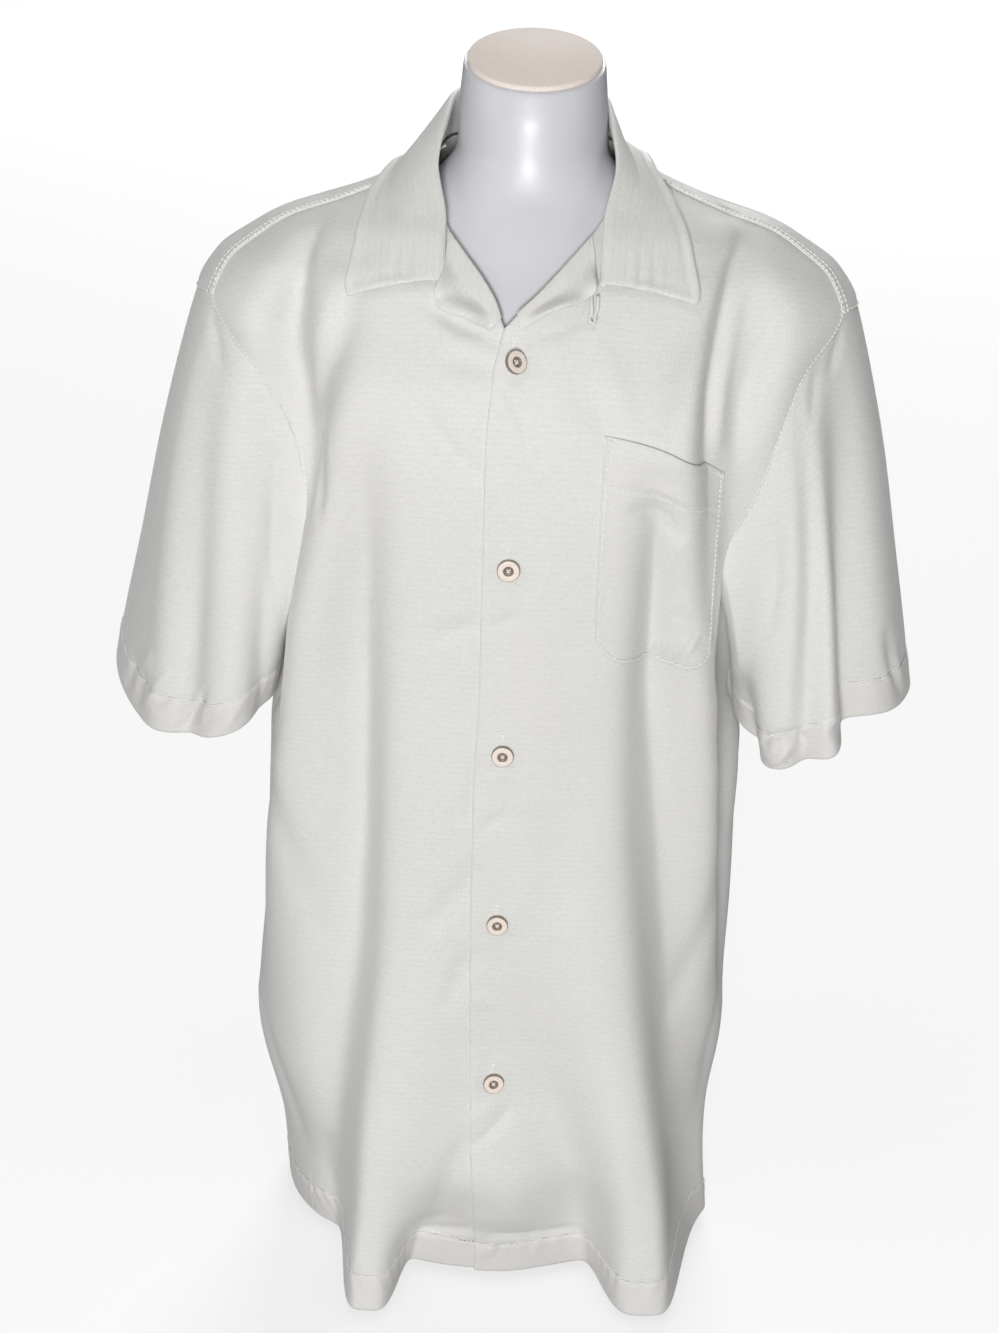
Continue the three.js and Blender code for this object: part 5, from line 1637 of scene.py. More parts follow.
@dataclass
class Collar:
    """The open collar: it stands at the neck, turns over and lies on the shoulders and fronts."""

    CORNER_FROM: ClassVar[float] = 0.965
    CORNER_SHARE: ClassVar[float] = 0.035
    CORNER_CUT: ClassVar[float] = 2.2

    torso: Torso
    columns: int = 97
    rows: int = 54
    wall: float = 1.5
    lip: float = 3.0
    lip_width: float = 2.8
    shift: float = -4.0
    leaf_lift: float = 5.0
    stand_lift: float = 2.6
    roll: float = 2.6
    spread: float = 2.0
    crown: tuple[float, float] = (5.0, 2.0)

    # step, roll line x, y, z, the neck seam's y and drop
    roll_line = (
        (0.0, 0, 67, 810, 64, 28), (0.2, 27, 61, 810, 58, 28), (0.42, 46, 36, 807, 35, 26),
        (0.58, 50, 6, 797, 8, 16), (0.72, 54, -20, 776, -18, 5), (0.86, 47, -51, 747, -50, 4),
        (1.0, 46, -77, 718, -76, 4),
    )
    # step, outer edge x, y, z, how far it is drawn in on the wearer's left
    edge_line = (
        (0.0, 0, 88, 748, 0), (0.2, 40, 82, 752, 2), (0.42, 70, 52, 760, 12), (0.58, 84, 12, 760, 16),
        (0.72, 93, -16, 750, 10), (0.86, 99, -50, 731, 2), (1.0, 104, -74, 706, 0),
    )

    def _resting_tree(self) -> BVHTree:
        """Returns the skin round the neck, to measure clearances from."""
        z = np.arange(NECK_Z, 672, -2.5)[:, None]
        angle = np.arange(-180, 180, 2.0)[None, :]
        points = self.torso.skin.point(angle, z)
        rows, columns = points.shape[:2]
        faces = []
        for j in range(rows - 1):
            for i in range(columns):
                k = (i + 1) % columns
                low, high = j * columns, (j + 1) * columns
                faces.append((low + i, high + i, high + k, low + k))
        return BVHTree.FromPolygons(points.reshape(-1, 3).tolist(), faces)

    def _cleared(self, tree: BVHTree, point: Array, distance: float) -> Array:
        """Returns a point moved out until it clears the skin by a distance."""
        place, normal, _, _ = tree.find_nearest(Vector(point))
        height = (Vector(point) - place).dot(normal)
        if height >= distance:
            return point
        return point + np.array(normal) * (distance - height)

    def _section(self, side: int, step: float, lines: list[Line]) -> Array:
        """Returns the collar's section at one step: neck seam, roll, leaf and edge."""
        roll_x, roll_y, roll_z, seam_y, drop, edge_x, edge_y, edge_z, draw = (line(step) for line in lines)
        shift = self.shift * step
        corner = max(0.0, (step - self.CORNER_FROM) / self.CORNER_SHARE)
        reach = edge_x - (draw if side > 0 else 0) - self.CORNER_CUT * corner**2
        roll = np.array([side * roll_x + shift, roll_y, roll_z])
        edge = np.array([side * reach + shift, edge_y, edge_z])
        seam = np.array([side * (roll_x + self.spread) + shift, seam_y, roll_z - drop])
        out = (edge - roll) * [1, 1, 0]
        out = out / np.linalg.norm(out)
        under = roll - out * self.roll / 2 - [0, 0, min(self.roll, drop / 2)]
        over = roll + out * self.roll - [0, 0, self.roll / 2]
        crown = mix(self.crown[0], self.crown[1], step)
        points = [seam, (seam + under) / 2, under, roll]
        for t in np.linspace(0, 1, 9):
            points.append(mix(over, edge, t) + [0, 0, crown * 4 * t * (1 - t)])
        return smooth_through(np.array(points), 130)

    def shell(self) -> Shell:
        """Returns the collar."""
        tree = self._resting_tree()
        lines = [Line([(row[0], row[k]) for row in self.roll_line]) for k in range(1, 6)]
        lines += [Line([(row[0], row[k]) for row in self.edge_line]) for k in range(1, 5)]
        sections = []
        for step in np.linspace(1, -1, 2 * self.columns - 1):
            side = -1 if step < 0 else 1
            raw = self._section(side, abs(float(step)), lines)
            height = run_lengths(raw, 0)
            top = int(np.argmax(raw[:, 2]))
            cleared = []
            for k, point in enumerate(raw):
                blend = float(smooth_step(-4, 4, height[k] - height[top]))
                cleared.append(self._cleared(tree, point, mix(self.stand_lift, self.leaf_lift, blend)))
            sections.append(spaced(np.array(cleared), self.rows))
        grid = np.stack(sections, axis=1)
        grid = relax(grid, 3)
        grid = grid + grid_normals(grid) * self._ripple(grid)[..., None]
        normals = grid_normals(grid)
        down, along = run_lengths(grid, 0), run_lengths(grid, 1)
        along = along - along[:, along.shape[1] // 2][:, None]
        far = np.minimum(down[-1:] - down, np.minimum(along - along[:, :1], along[:, -1:] - along))
        lip = 1 - smooth_step(self.lip_width * 0.6, self.lip_width * 1.3, far)
        leaf = smooth_step(0.3, 0.45, np.linspace(0, 1, self.rows))[:, None]
        wall = mix(self.wall, self.lip, lip * leaf)
        uv = np.stack([np.broadcast_to(along[-1:], down.shape), down], axis=-1)
        gully = np.exp(-(((far - 2.2 * self.lip_width) / 1.6) ** 2))
        grid = grid + normals * ((0.8 * lip - 0.35 * gully) * leaf)[..., None]
        return Shell([Grid(grid, normals, uv, wall, 0.0)], rim_steps=5)

    def _ripple(self, grid: Array) -> Array:
        """Returns the leaf's soft unevenness, with small puckers at the notches."""
        rows, columns = grid.shape[:2]
        t = np.linspace(0, 1, rows)[:, None]
        step = np.linspace(1, -1, columns)[None, :]
        leaf = smooth_step(0.35, 0.6, t)
        soft = 0.35 * np.sin(23 * step + 5 * t) * np.sin(9 * t + 4 * step)
        near = smooth_step(0.86, 1.0, np.abs(step))
        puckers = 0.5 * np.sin(46 * t + 9 * step) * near * (1 - smooth_step(0.45, 0.8, t))
        return leaf * soft + smooth_step(0.25, 0.4, t) * puckers


def smooth_through(points: Array, count: int) -> Array:
    """Returns count points evenly spaced along a smooth curve through others."""
    lengths = run_lengths(points, 0)
    lines = [Line(list(zip(lengths, points[:, k]))) for k in range(3)]
    dense = np.linspace(0, lengths[-1], 4 * count)
    return spaced(np.stack([line(dense) for line in lines], axis=1), count)


def relax(grid: Array, times: int) -> Array:
    """Returns a grid of points evened out inside its edges."""
    grid = grid.copy()
    for _ in range(times):
        near = grid[:-2, 1:-1] + grid[2:, 1:-1] + grid[1:-1, :-2] + grid[1:-1, 2:]
        grid[1:-1, 1:-1] = (grid[1:-1, 1:-1] + near / 4) / 2
    return grid


@dataclass
class Lapel:
    """A front facing turned outwards below the collar's notch."""

    side: Side
    torso: Torso
    wall: float = 1.0
    roll: float = 1.2
    lift: float = 1.7
    crown: float = 0.6
    flare: float = 8.5
    rows: int = 64
    columns: int = 22

    # V edge x, z and outer edge x, z, from the notch down to the first button
    tables = {
        Side.RIGHT: (
            (-47, 738, -51, 717), (-38, 728, -53, 709), (-28, 717, -52, 703), (-20, 706, -35, 697),
            (-16, 697, -22, 691),
        ),
        Side.LEFT: (
            (36, 738, 40, 716), (27, 729, 38, 711), (17, 719, 32, 706), (5, 708, 14, 700),
            (-6, 699, -4, 692),
        ),
    }

    def shell(self) -> Shell:
        """Returns the lapel."""
        table = np.array(self.tables[self.side], float)
        at = np.linspace(0, 1, len(table))
        s = np.linspace(0, 1, self.rows)
        v_x, v_z, out_x, out_z = (Line(list(zip(at, table[:, k])))(s) for k in range(4))
        t = np.linspace(0, 1, self.columns)[None, :]
        x, z = mix(v_x[:, None], out_x[:, None], t), mix(v_z[:, None], out_z[:, None], t)
        skin = self.torso.skin
        angle = skin.angle_at_x(x, z)
        base = self.torso.lap_lift(angle, z) if self.side is Side.LEFT else 0 * x
        open_share = np.sin(np.pi * np.clip(s * 1.05, 0, 1))[:, None] ** 0.8
        wave = 1 + 0.35 * np.sin(9 * s + 0.6)[:, None]
        flare = self.flare * smooth_step(0.35, 1.0, t) * open_share * wave
        lift = base + self.lift + self.crown * np.sin(np.pi * t) + flare
        normals = skin.normal(angle, z)
        leaf = skin.point(angle, z) + normals * lift[..., None]
        inward = unit(leaf[:, 0] - leaf[:, 3])
        up = normals[:, 0]
        centre = leaf[:, 0] - up * self.roll
        turn = np.linspace(math.pi, 0, 9)[:-1]
        rolled = centre[:, None] + self.roll * (
            up[:, None] * np.cos(turn)[None, :, None] + inward[:, None] * np.sin(turn)[None, :, None]
        )
        grid = np.concatenate([rolled, leaf], axis=1)
        if self.side is Side.RIGHT:
            grid = grid[:, ::-1]
        across, down = run_lengths(grid, 1), run_lengths(grid, 0)
        edge = across if self.side is Side.RIGHT else across[:, -1:] - across
        lip = 1 - smooth_step(2.0, 4.0, edge)
        uv = np.stack([grid[..., 0] * 1.1, -down], axis=-1)
        return Shell([Grid(grid, grid_normals(grid), uv, mix(self.wall, 1.8, lip))], rim_steps=5)


@dataclass
class Pocket:
    """The patch pocket on the wearer's left chest."""

    torso: Torso
    left: float = 47.0
    right: float = 122.0
    top_in: float = 634.0
    top_out: float = 602.0
    top_bow: float = 6.0
    foot_in: float = 492.0
    foot_out: float = 472.0
    corner: float = 20.0
    lift: float = 1.4
    wall: float = 1.0
    band: float = 28.0
    gape: float = 0.8
    inset: float = 2.2
    columns: int = 66
    rows: int = 110

    def outline(self, share: Array) -> tuple[Array, Array, Array]:
        """Returns x, the top's height and the foot's height at shares of the way across."""
        x = mix(self.left, self.right, share)
        top = mix(self.top_in, self.top_out, share) + self.top_bow * np.sin(np.pi * share)
        foot = mix(self.foot_in, self.foot_out, share)
        width = self.right - self.left
        near = np.clip(1 - np.minimum(share, 1 - share) * width / self.corner, 0, 1)
        round_off = self.corner * (1 - np.sqrt(1 - near**2))
        return x, top, foot + round_off

    def place(self, share: Array, t: Array, lift: Array | float = 0.0) -> tuple[Array, Array]:
        """Returns points and outward directions at shares across and down."""
        x, top, foot = self.outline(share)
        z = mix(top, foot, t)
        skin = self.torso.skin
        angle = skin.angle_at_x(x, z)
        normals = skin.normal(angle, z)
        far = np.minimum((x - self.left), (self.right - x))
        puff = self.gape * np.exp(-(((top - z) / 16) ** 2)) * np.sin(np.pi * np.clip(share, 0, 1))
        puff = puff + 0.5 * smooth_step(0, 14, far) * smooth_step(0, 12, z - foot)
        for crease in POCKET_CREASES:
            puff = puff + crease_section(crease, x - crease.from_along, z)
        total = self.torso.lap_lift(angle, z) + self.lift + puff + lift
        return skin.point(angle, z) + normals * total[..., None], normals

    def shell(self) -> Shell:
        """Returns the pocket."""
        share = (1 - np.cos(np.linspace(0, math.pi, self.columns)))[None, :] / 2
        share = mix(share, np.linspace(0, 1, self.columns)[None, :], 0.5)
        t = np.linspace(0, 1, self.rows)[:, None]
        share, t = np.broadcast_arrays(share, t)
        points, normals = self.place(share, t)
        down = run_lengths(points, 0)
        across = run_lengths(points, 1)
        inner = np.minimum(np.minimum(across, across[:, -1:] - across), down[-1:] - down)
        groove = 0.7 * np.exp(-(((down - self.band) / 1.3) ** 2))
        groove = groove + 0.55 * np.exp(-(((inner - self.inset) / 1.0) ** 2))
        points = points - normals * groove[..., None]
        band = 1 - smooth_step(self.band - 1, self.band + 1, down)
        rim = 1 - smooth_step(1.2, 3.2, inner)
        uv = np.stack([across, -down], axis=-1)
        return Shell([Grid(points, normals, uv, mix(self.wall, 1.7, np.maximum(band, rim)), 0.25 * band)])

    def stitch(self, sewing: Sewing) -> None:
        """Adds the pocket's edge row, its top band row and its bartacks."""
        inset = self.inset
        width, height = self.right - self.left, self.top_in - self.foot_in
        side = inset / width
        down = np.linspace(0.01, 1 - inset / height, 60)
        over = np.linspace(side, 1 - side, 60)
        sewing.add(*self.place(np.full(60, side), down, 0.05))
        sewing.add(*self.place(over, np.full(60, 1 - inset / height), 0.05))
        sewing.add(*self.place(np.full(60, 1 - side), down, 0.05))
        sewing.add(*self.place(over, np.full(60, self.band / height), -0.3))
        for end in (0.02, 0.98):
            for k in range(3):
                line = np.linspace(-0.045, 0.045, 6)
                spot = np.clip(end + line + 0.008 * k, 0.004, 0.996)
                sewing.add(*self.place(spot, np.full(6, 0.012 + 0.006 * k), 0.1), 1.2, 1.6)


# ---------- Buttons, buttonholes and loop


@dataclass
class Fastenings:
    """The five front buttons with their threads and buttonholes, and the loop at the left lapel."""

    torso: Torso
    x: float = -7.0
    heights: tuple[float, ...] = (673, 551, 425, 301, 176)
    radius: float = 7.0
    thick: float = 2.8
    face: float = 4.0
    slope: float = 0.5
    well: float = 0.9
    edge: float = 0.5
    lift: float = 0.5
    hole: float = 0.55
    hole_out: float = 1.45
    first_turn: float = 38.0
    first_lean: float = 0.82
    slit_from: float = -2.0
    slit_to: float = 13.0

    def _pattern(self) -> bpy.types.Object:
        """Returns one button, lying face up at the origin, modelled once."""
        bpy.ops.object.select_all(action="DESELECT")
        size = self.radius * MM
        bpy.ops.mesh.primitive_cylinder_add(
            vertices=56, radius=size, depth=self.thick * MM, location=(0, 0, self.thick * MM / 2)
        )
        made = bpy.context.object
        bpy.ops.object.mode_set(mode="EDIT")
        select_faces(made, lambda face: face.normal.z > 0.9)
        bpy.ops.mesh.inset(thickness=self.face * MM)
        bpy.ops.mesh.inset(thickness=self.slope * MM, depth=-self.well * MM)
        bpy.ops.object.mode_set(mode="OBJECT")
        rim = made.modifiers.new("rim", "BEVEL")
        rim.width, rim.segments, rim.angle_limit = self.edge * MM, 3, math.radians(50)
        bpy.ops.object.modifier_apply(modifier=rim.name)
        for k in range(4):
            turn = math.radians(45 + 90 * k)
            place = (self.hole_out * MM * math.cos(turn), self.hole_out * MM * math.sin(turn), 0)
            bpy.ops.object.select_all(action="DESELECT")
            bpy.ops.mesh.primitive_cylinder_add(
                vertices=16, radius=self.hole * MM, depth=4 * self.thick * MM, location=place
            )
            drill = bpy.context.object
            bpy.context.view_layer.objects.active = made
            cut = made.modifiers.new("hole", "BOOLEAN")
            cut.operation, cut.object, cut.solver = "DIFFERENCE", drill, "EXACT"
            bpy.ops.object.modifier_apply(modifier=cut.name)
            bpy.data.objects.remove(drill, do_unlink=True)
        bpy.ops.object.select_all(action="DESELECT")
        made.select_set(True)
        bpy.context.view_layer.objects.active = made
        bpy.ops.object.transform_apply(location=True, rotation=True, scale=True)
        bpy.ops.object.shade_smooth_by_angle(angle=math.radians(40))
        reach = [math.hypot(v.co.x, v.co.y) / size for v in made.data.vertices]
        made.data.attributes.new("reach", "FLOAT", "POINT").data.foreach_set("value", reach)
        return made

    def _seat(self, height: float, first: bool) -> Matrix:
        """Returns the place of a button: its own up is away from the cloth."""
        z = np.array([height])
        angle = self.torso.skin.angle_at_x(self.x, z)
        turn = math.radians(self.first_turn) if first else 0.0
        lean = self.first_lean * self.radius * math.sin(turn)
        lift = float(self.torso.lap_lift(angle, z)[0]) + self.lift + lean
        point, normal = self.torso.line(angle, z, lift)
        up = Vector(normal[0])
        across = Vector((0, 0, 1)).cross(up).normalized()
        frame_of = Matrix((across, up.cross(across), up)).transposed().to_4x4()
        swing = Matrix.Rotation(turn, 4, "Z")
        return Matrix.Translation(Vector(point[0]) * MM) @ swing @ frame_of

    def buttons(self) -> None:
        """Makes the buttons and the crossed threads in their holes."""
        pattern = self._pattern()
        for k, height in enumerate(self.heights):
            seat = self._seat(height, k == 0)
            mesh = pattern.data.copy()
            mesh.transform(seat)
            made = bpy.data.objects.new(f"horn_button_{k + 1}", mesh)
            bpy.context.scene.collection.objects.link(made)
            settle(made, HORN, Slot.BUTTON, (f"button_{k + 1}",))
            self._cross(seat, k + 1)
        bpy.data.objects.remove(pattern, do_unlink=True)

    def _cross(self, seat: Matrix, number: int) -> None:
        """Makes a button's crossed threads."""
        sewing = Sewing(radius=0.28, sink=0.0)
        floor = self.thick - self.well
        reach = self.hole_out + 0.1
        rise = np.array([[-1, -0.5], [-0.6, 0.35], [0.6, 0.35], [1, -0.5]])
        for turn in (45, 135):
            a = math.radians(turn)
            for offset in (-0.22, 0.22):
                points = []
                for share, up in rise:
                    x = reach * share * math.cos(a) - offset * math.sin(a)
                    y = reach * share * math.sin(a) + offset * math.cos(a)
                    points.append(seat @ Vector((x * MM, y * MM, (floor + up) * MM)) / MM)
                normals = np.tile(np.array(seat.to_3x3() @ Vector((0, 0, 1))), (4, 1))
                sewing.add(np.array(points), normals, 1.1, 1.5)
        sewing.build(f"button_thread_{number}")

    def buttonholes(self, sewing: Sewing) -> None:
        """Makes the worked edges of the buttonholes, and adds their bartacks."""
        parts = []
        for k, height in enumerate(self.heights):
            turn = np.linspace(0, 2 * math.pi, 61)
            half = (self.slit_to - self.slit_from) / 2
            x = self.x + 0.75 * np.cos(turn)
            z = height + (self.slit_to + self.slit_from) / 2 + half * np.sin(turn)
            angle = self.torso.skin.angle_at_x(x, z)
            lift = self.torso.lap_lift(angle, z) + 0.15
            points, _ = self.torso.line(angle, z, lift)
            parts.append(tube(f"welt_{k}", points, 0.42, 6))
            z_bar = np.full(5, height + self.slit_to + 0.4)
            x_bar = self.x + np.linspace(-1.6, 1.6, 5)
            for step in range(3):
                angle = self.torso.skin.angle_at_x(x_bar, z_bar + 0.45 * step)
                lift = self.torso.lap_lift(angle, z_bar) + 0.15
                sewing.add(*self.torso.line(angle, z_bar + 0.45 * step, lift), 1.2, 1.6)
        made = join(parts, "buttonhole_edges")
        settle(made, THREAD, Slot.CLOTH)

    def loop(self) -> None:
        """Makes the narrow loop at the left lapel's corner."""
        x, z, length, half, lift = 38.0, 709.0, 15.0, 1.9, 3.3
        foot = z - length
        places = np.array(
            [
                (x - half, z), (x - half, (z + foot) / 2), (x - half * 0.8, foot + 1.5), (x, foot),
                (x + half * 0.8, foot + 1.5), (x + half, (z + foot) / 2), (x + half, z),
            ]
        )
        path = smooth_through(np.column_stack([places, np.zeros(len(places))]), 70)
        angle = self.torso.skin.angle_at_x(path[:, 0], path[:, 1])
        lifts = self.torso.lap_lift(angle, path[:, 1]) + lift
        points, _ = self.torso.line(angle, path[:, 1], lifts)
        made = tube("lapel_loop", points, 1.1, 14)
        settle(made, SILK, Slot.CLOTH, ("button_loop",))


def select_faces(made: bpy.types.Object, wanted: Callable[[bmesh.types.BMFace], bool]) -> None:
    """Selects the faces of a mesh in edit mode that a test picks."""
    work = bmesh.from_edit_mesh(made.data)
    for face in work.faces:
        face.select_set(False)
    for face in work.faces:
        if wanted(face):
            face.select_set(True)
    bmesh.update_edit_mesh(made.data)


def join(parts: list[bpy.types.Object], name: str) -> bpy.types.Object:
    """Returns mesh objects joined as one."""
    bpy.ops.object.select_all(action="DESELECT")
    for part in parts:
        part.select_set(True)
    bpy.context.view_layer.objects.active = parts[0]
    bpy.ops.object.join()
    parts[0].name = name
    parts[0].data.name = name
    return parts[0]


# ---------- Dress form

FORM_RINGS = (
    Ring(0, 0, 118, -80, 74, 4, 2.2), Ring(60, 0, 124, -84, 78, 4, 2.2),
    Ring(150, 0, 128, -88, 84, 5, 2.2), Ring(250, 0, 124, -88, 84, 6, 2.2),
    Ring(350, 0, 118, -88, 84, 6, 2.2), Ring(440, 0, 124, -92, 88, 6, 2.3),
    Ring(520, 0, 137, -98, 96, 8, 2.3), Ring(590, 0, 150, -100, 101, 11, 2.2),
    Ring(640, 0, 162, -95, 100, 15, 2.1), Ring(680, 0, 172, -84, 93, 17, 2.0),
    Ring(706, 0, 172, -73, 87, 17, 2.0), Ring(722, 0, 159, -62, 81, 17, 2.0),
    Ring(732, 0, 140, -54, 77, 17, 2.0), Ring(742, 0, 110, -45, 71, 16, 2.0),
    Ring(752, 0, 82, -38, 65, 15, 2.0), Ring(764, 0, 58, -34, 59, 13, 2.0),
    Ring(780, 0, 46, -32, 57, 12, 2.0), Ring(805, 0, 45, -31, 57, 13, 2.0),
    Ring(828, 0, 43, -27, 57, 15, 2.0),
)


@dataclass
class DressForm:
    """The smooth limbless form, with a cap on its neck."""

    columns: int = 128
    tilt_from: float = 764.0
    tilt_to: float = 828.0
    slope: float = 0.3
    middle: float = 15.0
    inset: float = 2.2
    gap: float = 0.3
    cap_thick: float = 3.0
    cap_edge: float = 0.8

    def __post_init__(self) -> None:
        """Reads the form's rings."""
        names = ("half", "front", "back", "side", "square")
        self.lines = {name: Line([(r.z, getattr(r, name)) for r in FORM_RINGS]) for name in names}

    def ring(self, z: float, shrink: float = 0.0, rise: float = 0.0) -> Array:
        """Returns one ring's points, in metres."""
        turn = np.linspace(0, 2 * math.pi, self.columns, endpoint=False)
        s, c = np.sin(turn), np.cos(turn)
        at = {name: float(line(z)) for name, line in self.lines.items()}
        power = 2 / at["square"]
        front, back = at["front"] + shrink, at["back"] - shrink
        depth = np.where(c >= 0, at["side"] - front, back - at["side"])
        x = (at["half"] - shrink) * np.sign(s) * np.abs(s) ** power
        y = at["side"] - depth * np.sign(c) * np.abs(c) ** power
        share = np.clip((z - self.tilt_from) / (self.tilt_to - self.tilt_from), 0, 1)
        height = z + share * self.slope * (y - self.middle) + rise
        return np.stack([x, y, height], axis=1) * MM

    def _stack(self, name: str, rings: list[Array]) -> bpy.types.Object:
        """Returns a solid of rings: a circle drawn out step by step, each ring brought to its place."""
        bpy.ops.object.select_all(action="DESELECT")
        bpy.ops.mesh.primitive_circle_add(vertices=self.columns, radius=0.1, fill_type="NGON")
        made = bpy.context.object
        made.name = made.data.name = name
        bpy.ops.object.mode_set(mode="EDIT")
        for _ in rings[1:]:
            bpy.ops.mesh.extrude_region_move(TRANSFORM_OT_translate={"value": (0, 0, 0.01)})
        bpy.ops.object.mode_set(mode="OBJECT")
        order = sorted(
            range(len(made.data.vertices)),
            key=lambda k: (
                round(made.data.vertices[k].co.z, 4),
                math.atan2(made.data.vertices[k].co.x, -made.data.vertices[k].co.y) % (2 * math.pi),
            ),
        )
        for place, k in enumerate(order):
            level, column = divmod(place, self.columns)
            made.data.vertices[k].co = rings[level][column]
        outward(made)
        made.data.polygons.foreach_set("use_smooth", np.ones(len(made.data.polygons), bool))
        made.select_set(True)
        bpy.context.view_layer.objects.active = made
        bpy.ops.object.shade_smooth_by_angle(angle=math.radians(35))
        return made

    def build(self) -> None:
        """Makes the form and its cap."""
        z = np.concatenate([np.linspace(0, 700, 60), np.linspace(706, 826.6, 44)])
        body = [self.ring(float(height)) for height in z]
        top = FORM_RINGS[-1].z
        body += [self.ring(top, 0.15, -0.35), self.ring(top, 0.6, 0)]
        settle(self._stack("glossy_form", body), GLOSS, Slot.FORM, ("form",))
        low, high = self.gap, self.gap + self.cap_thick
        lid = [
            self.ring(top, self.inset + 0.3, low),
            self.ring(top, self.inset, low + 0.3),
            self.ring(top, self.inset, high - self.cap_edge),
            self.ring(top, self.inset + 0.3, high - 0.3),
            self.ring(top, self.inset + self.cap_edge, high),
        ]
        settle(self._stack("neck_cap", lid), FELT, Slot.CAP, ("form_cap",))


# ---------- The shirt


@dataclass(frozen=True)
class Cut:
    """The flat size of what shows of a piece, measured along its cloth, and its area, in metres."""

    width: float
    length: float
    area: float
    held: str = "draped"


CUTS = {
    "right_front": Cut(0.331, 0.810, 0.1895),
    "left_front": Cut(0.334, 0.809, 0.1916),
    "back_panel": Cut(0.500, 0.656, 0.2735),
    "yoke_panel": Cut(0.481, 0.176, 0.0678),
    "right_sleeve": Cut(0.442, 0.292, 0.0801),
    "left_sleeve": Cut(0.474, 0.274, 0.0822),
    "open_collar": Cut(0.483, 0.094, 0.0296),
    "right_lapel": Cut(0.035, 0.062, 0.0015),
    "left_lapel": Cut(0.033, 0.067, 0.0014),
    "chest_pocket": Cut(0.103, 0.147, 0.0135),
}


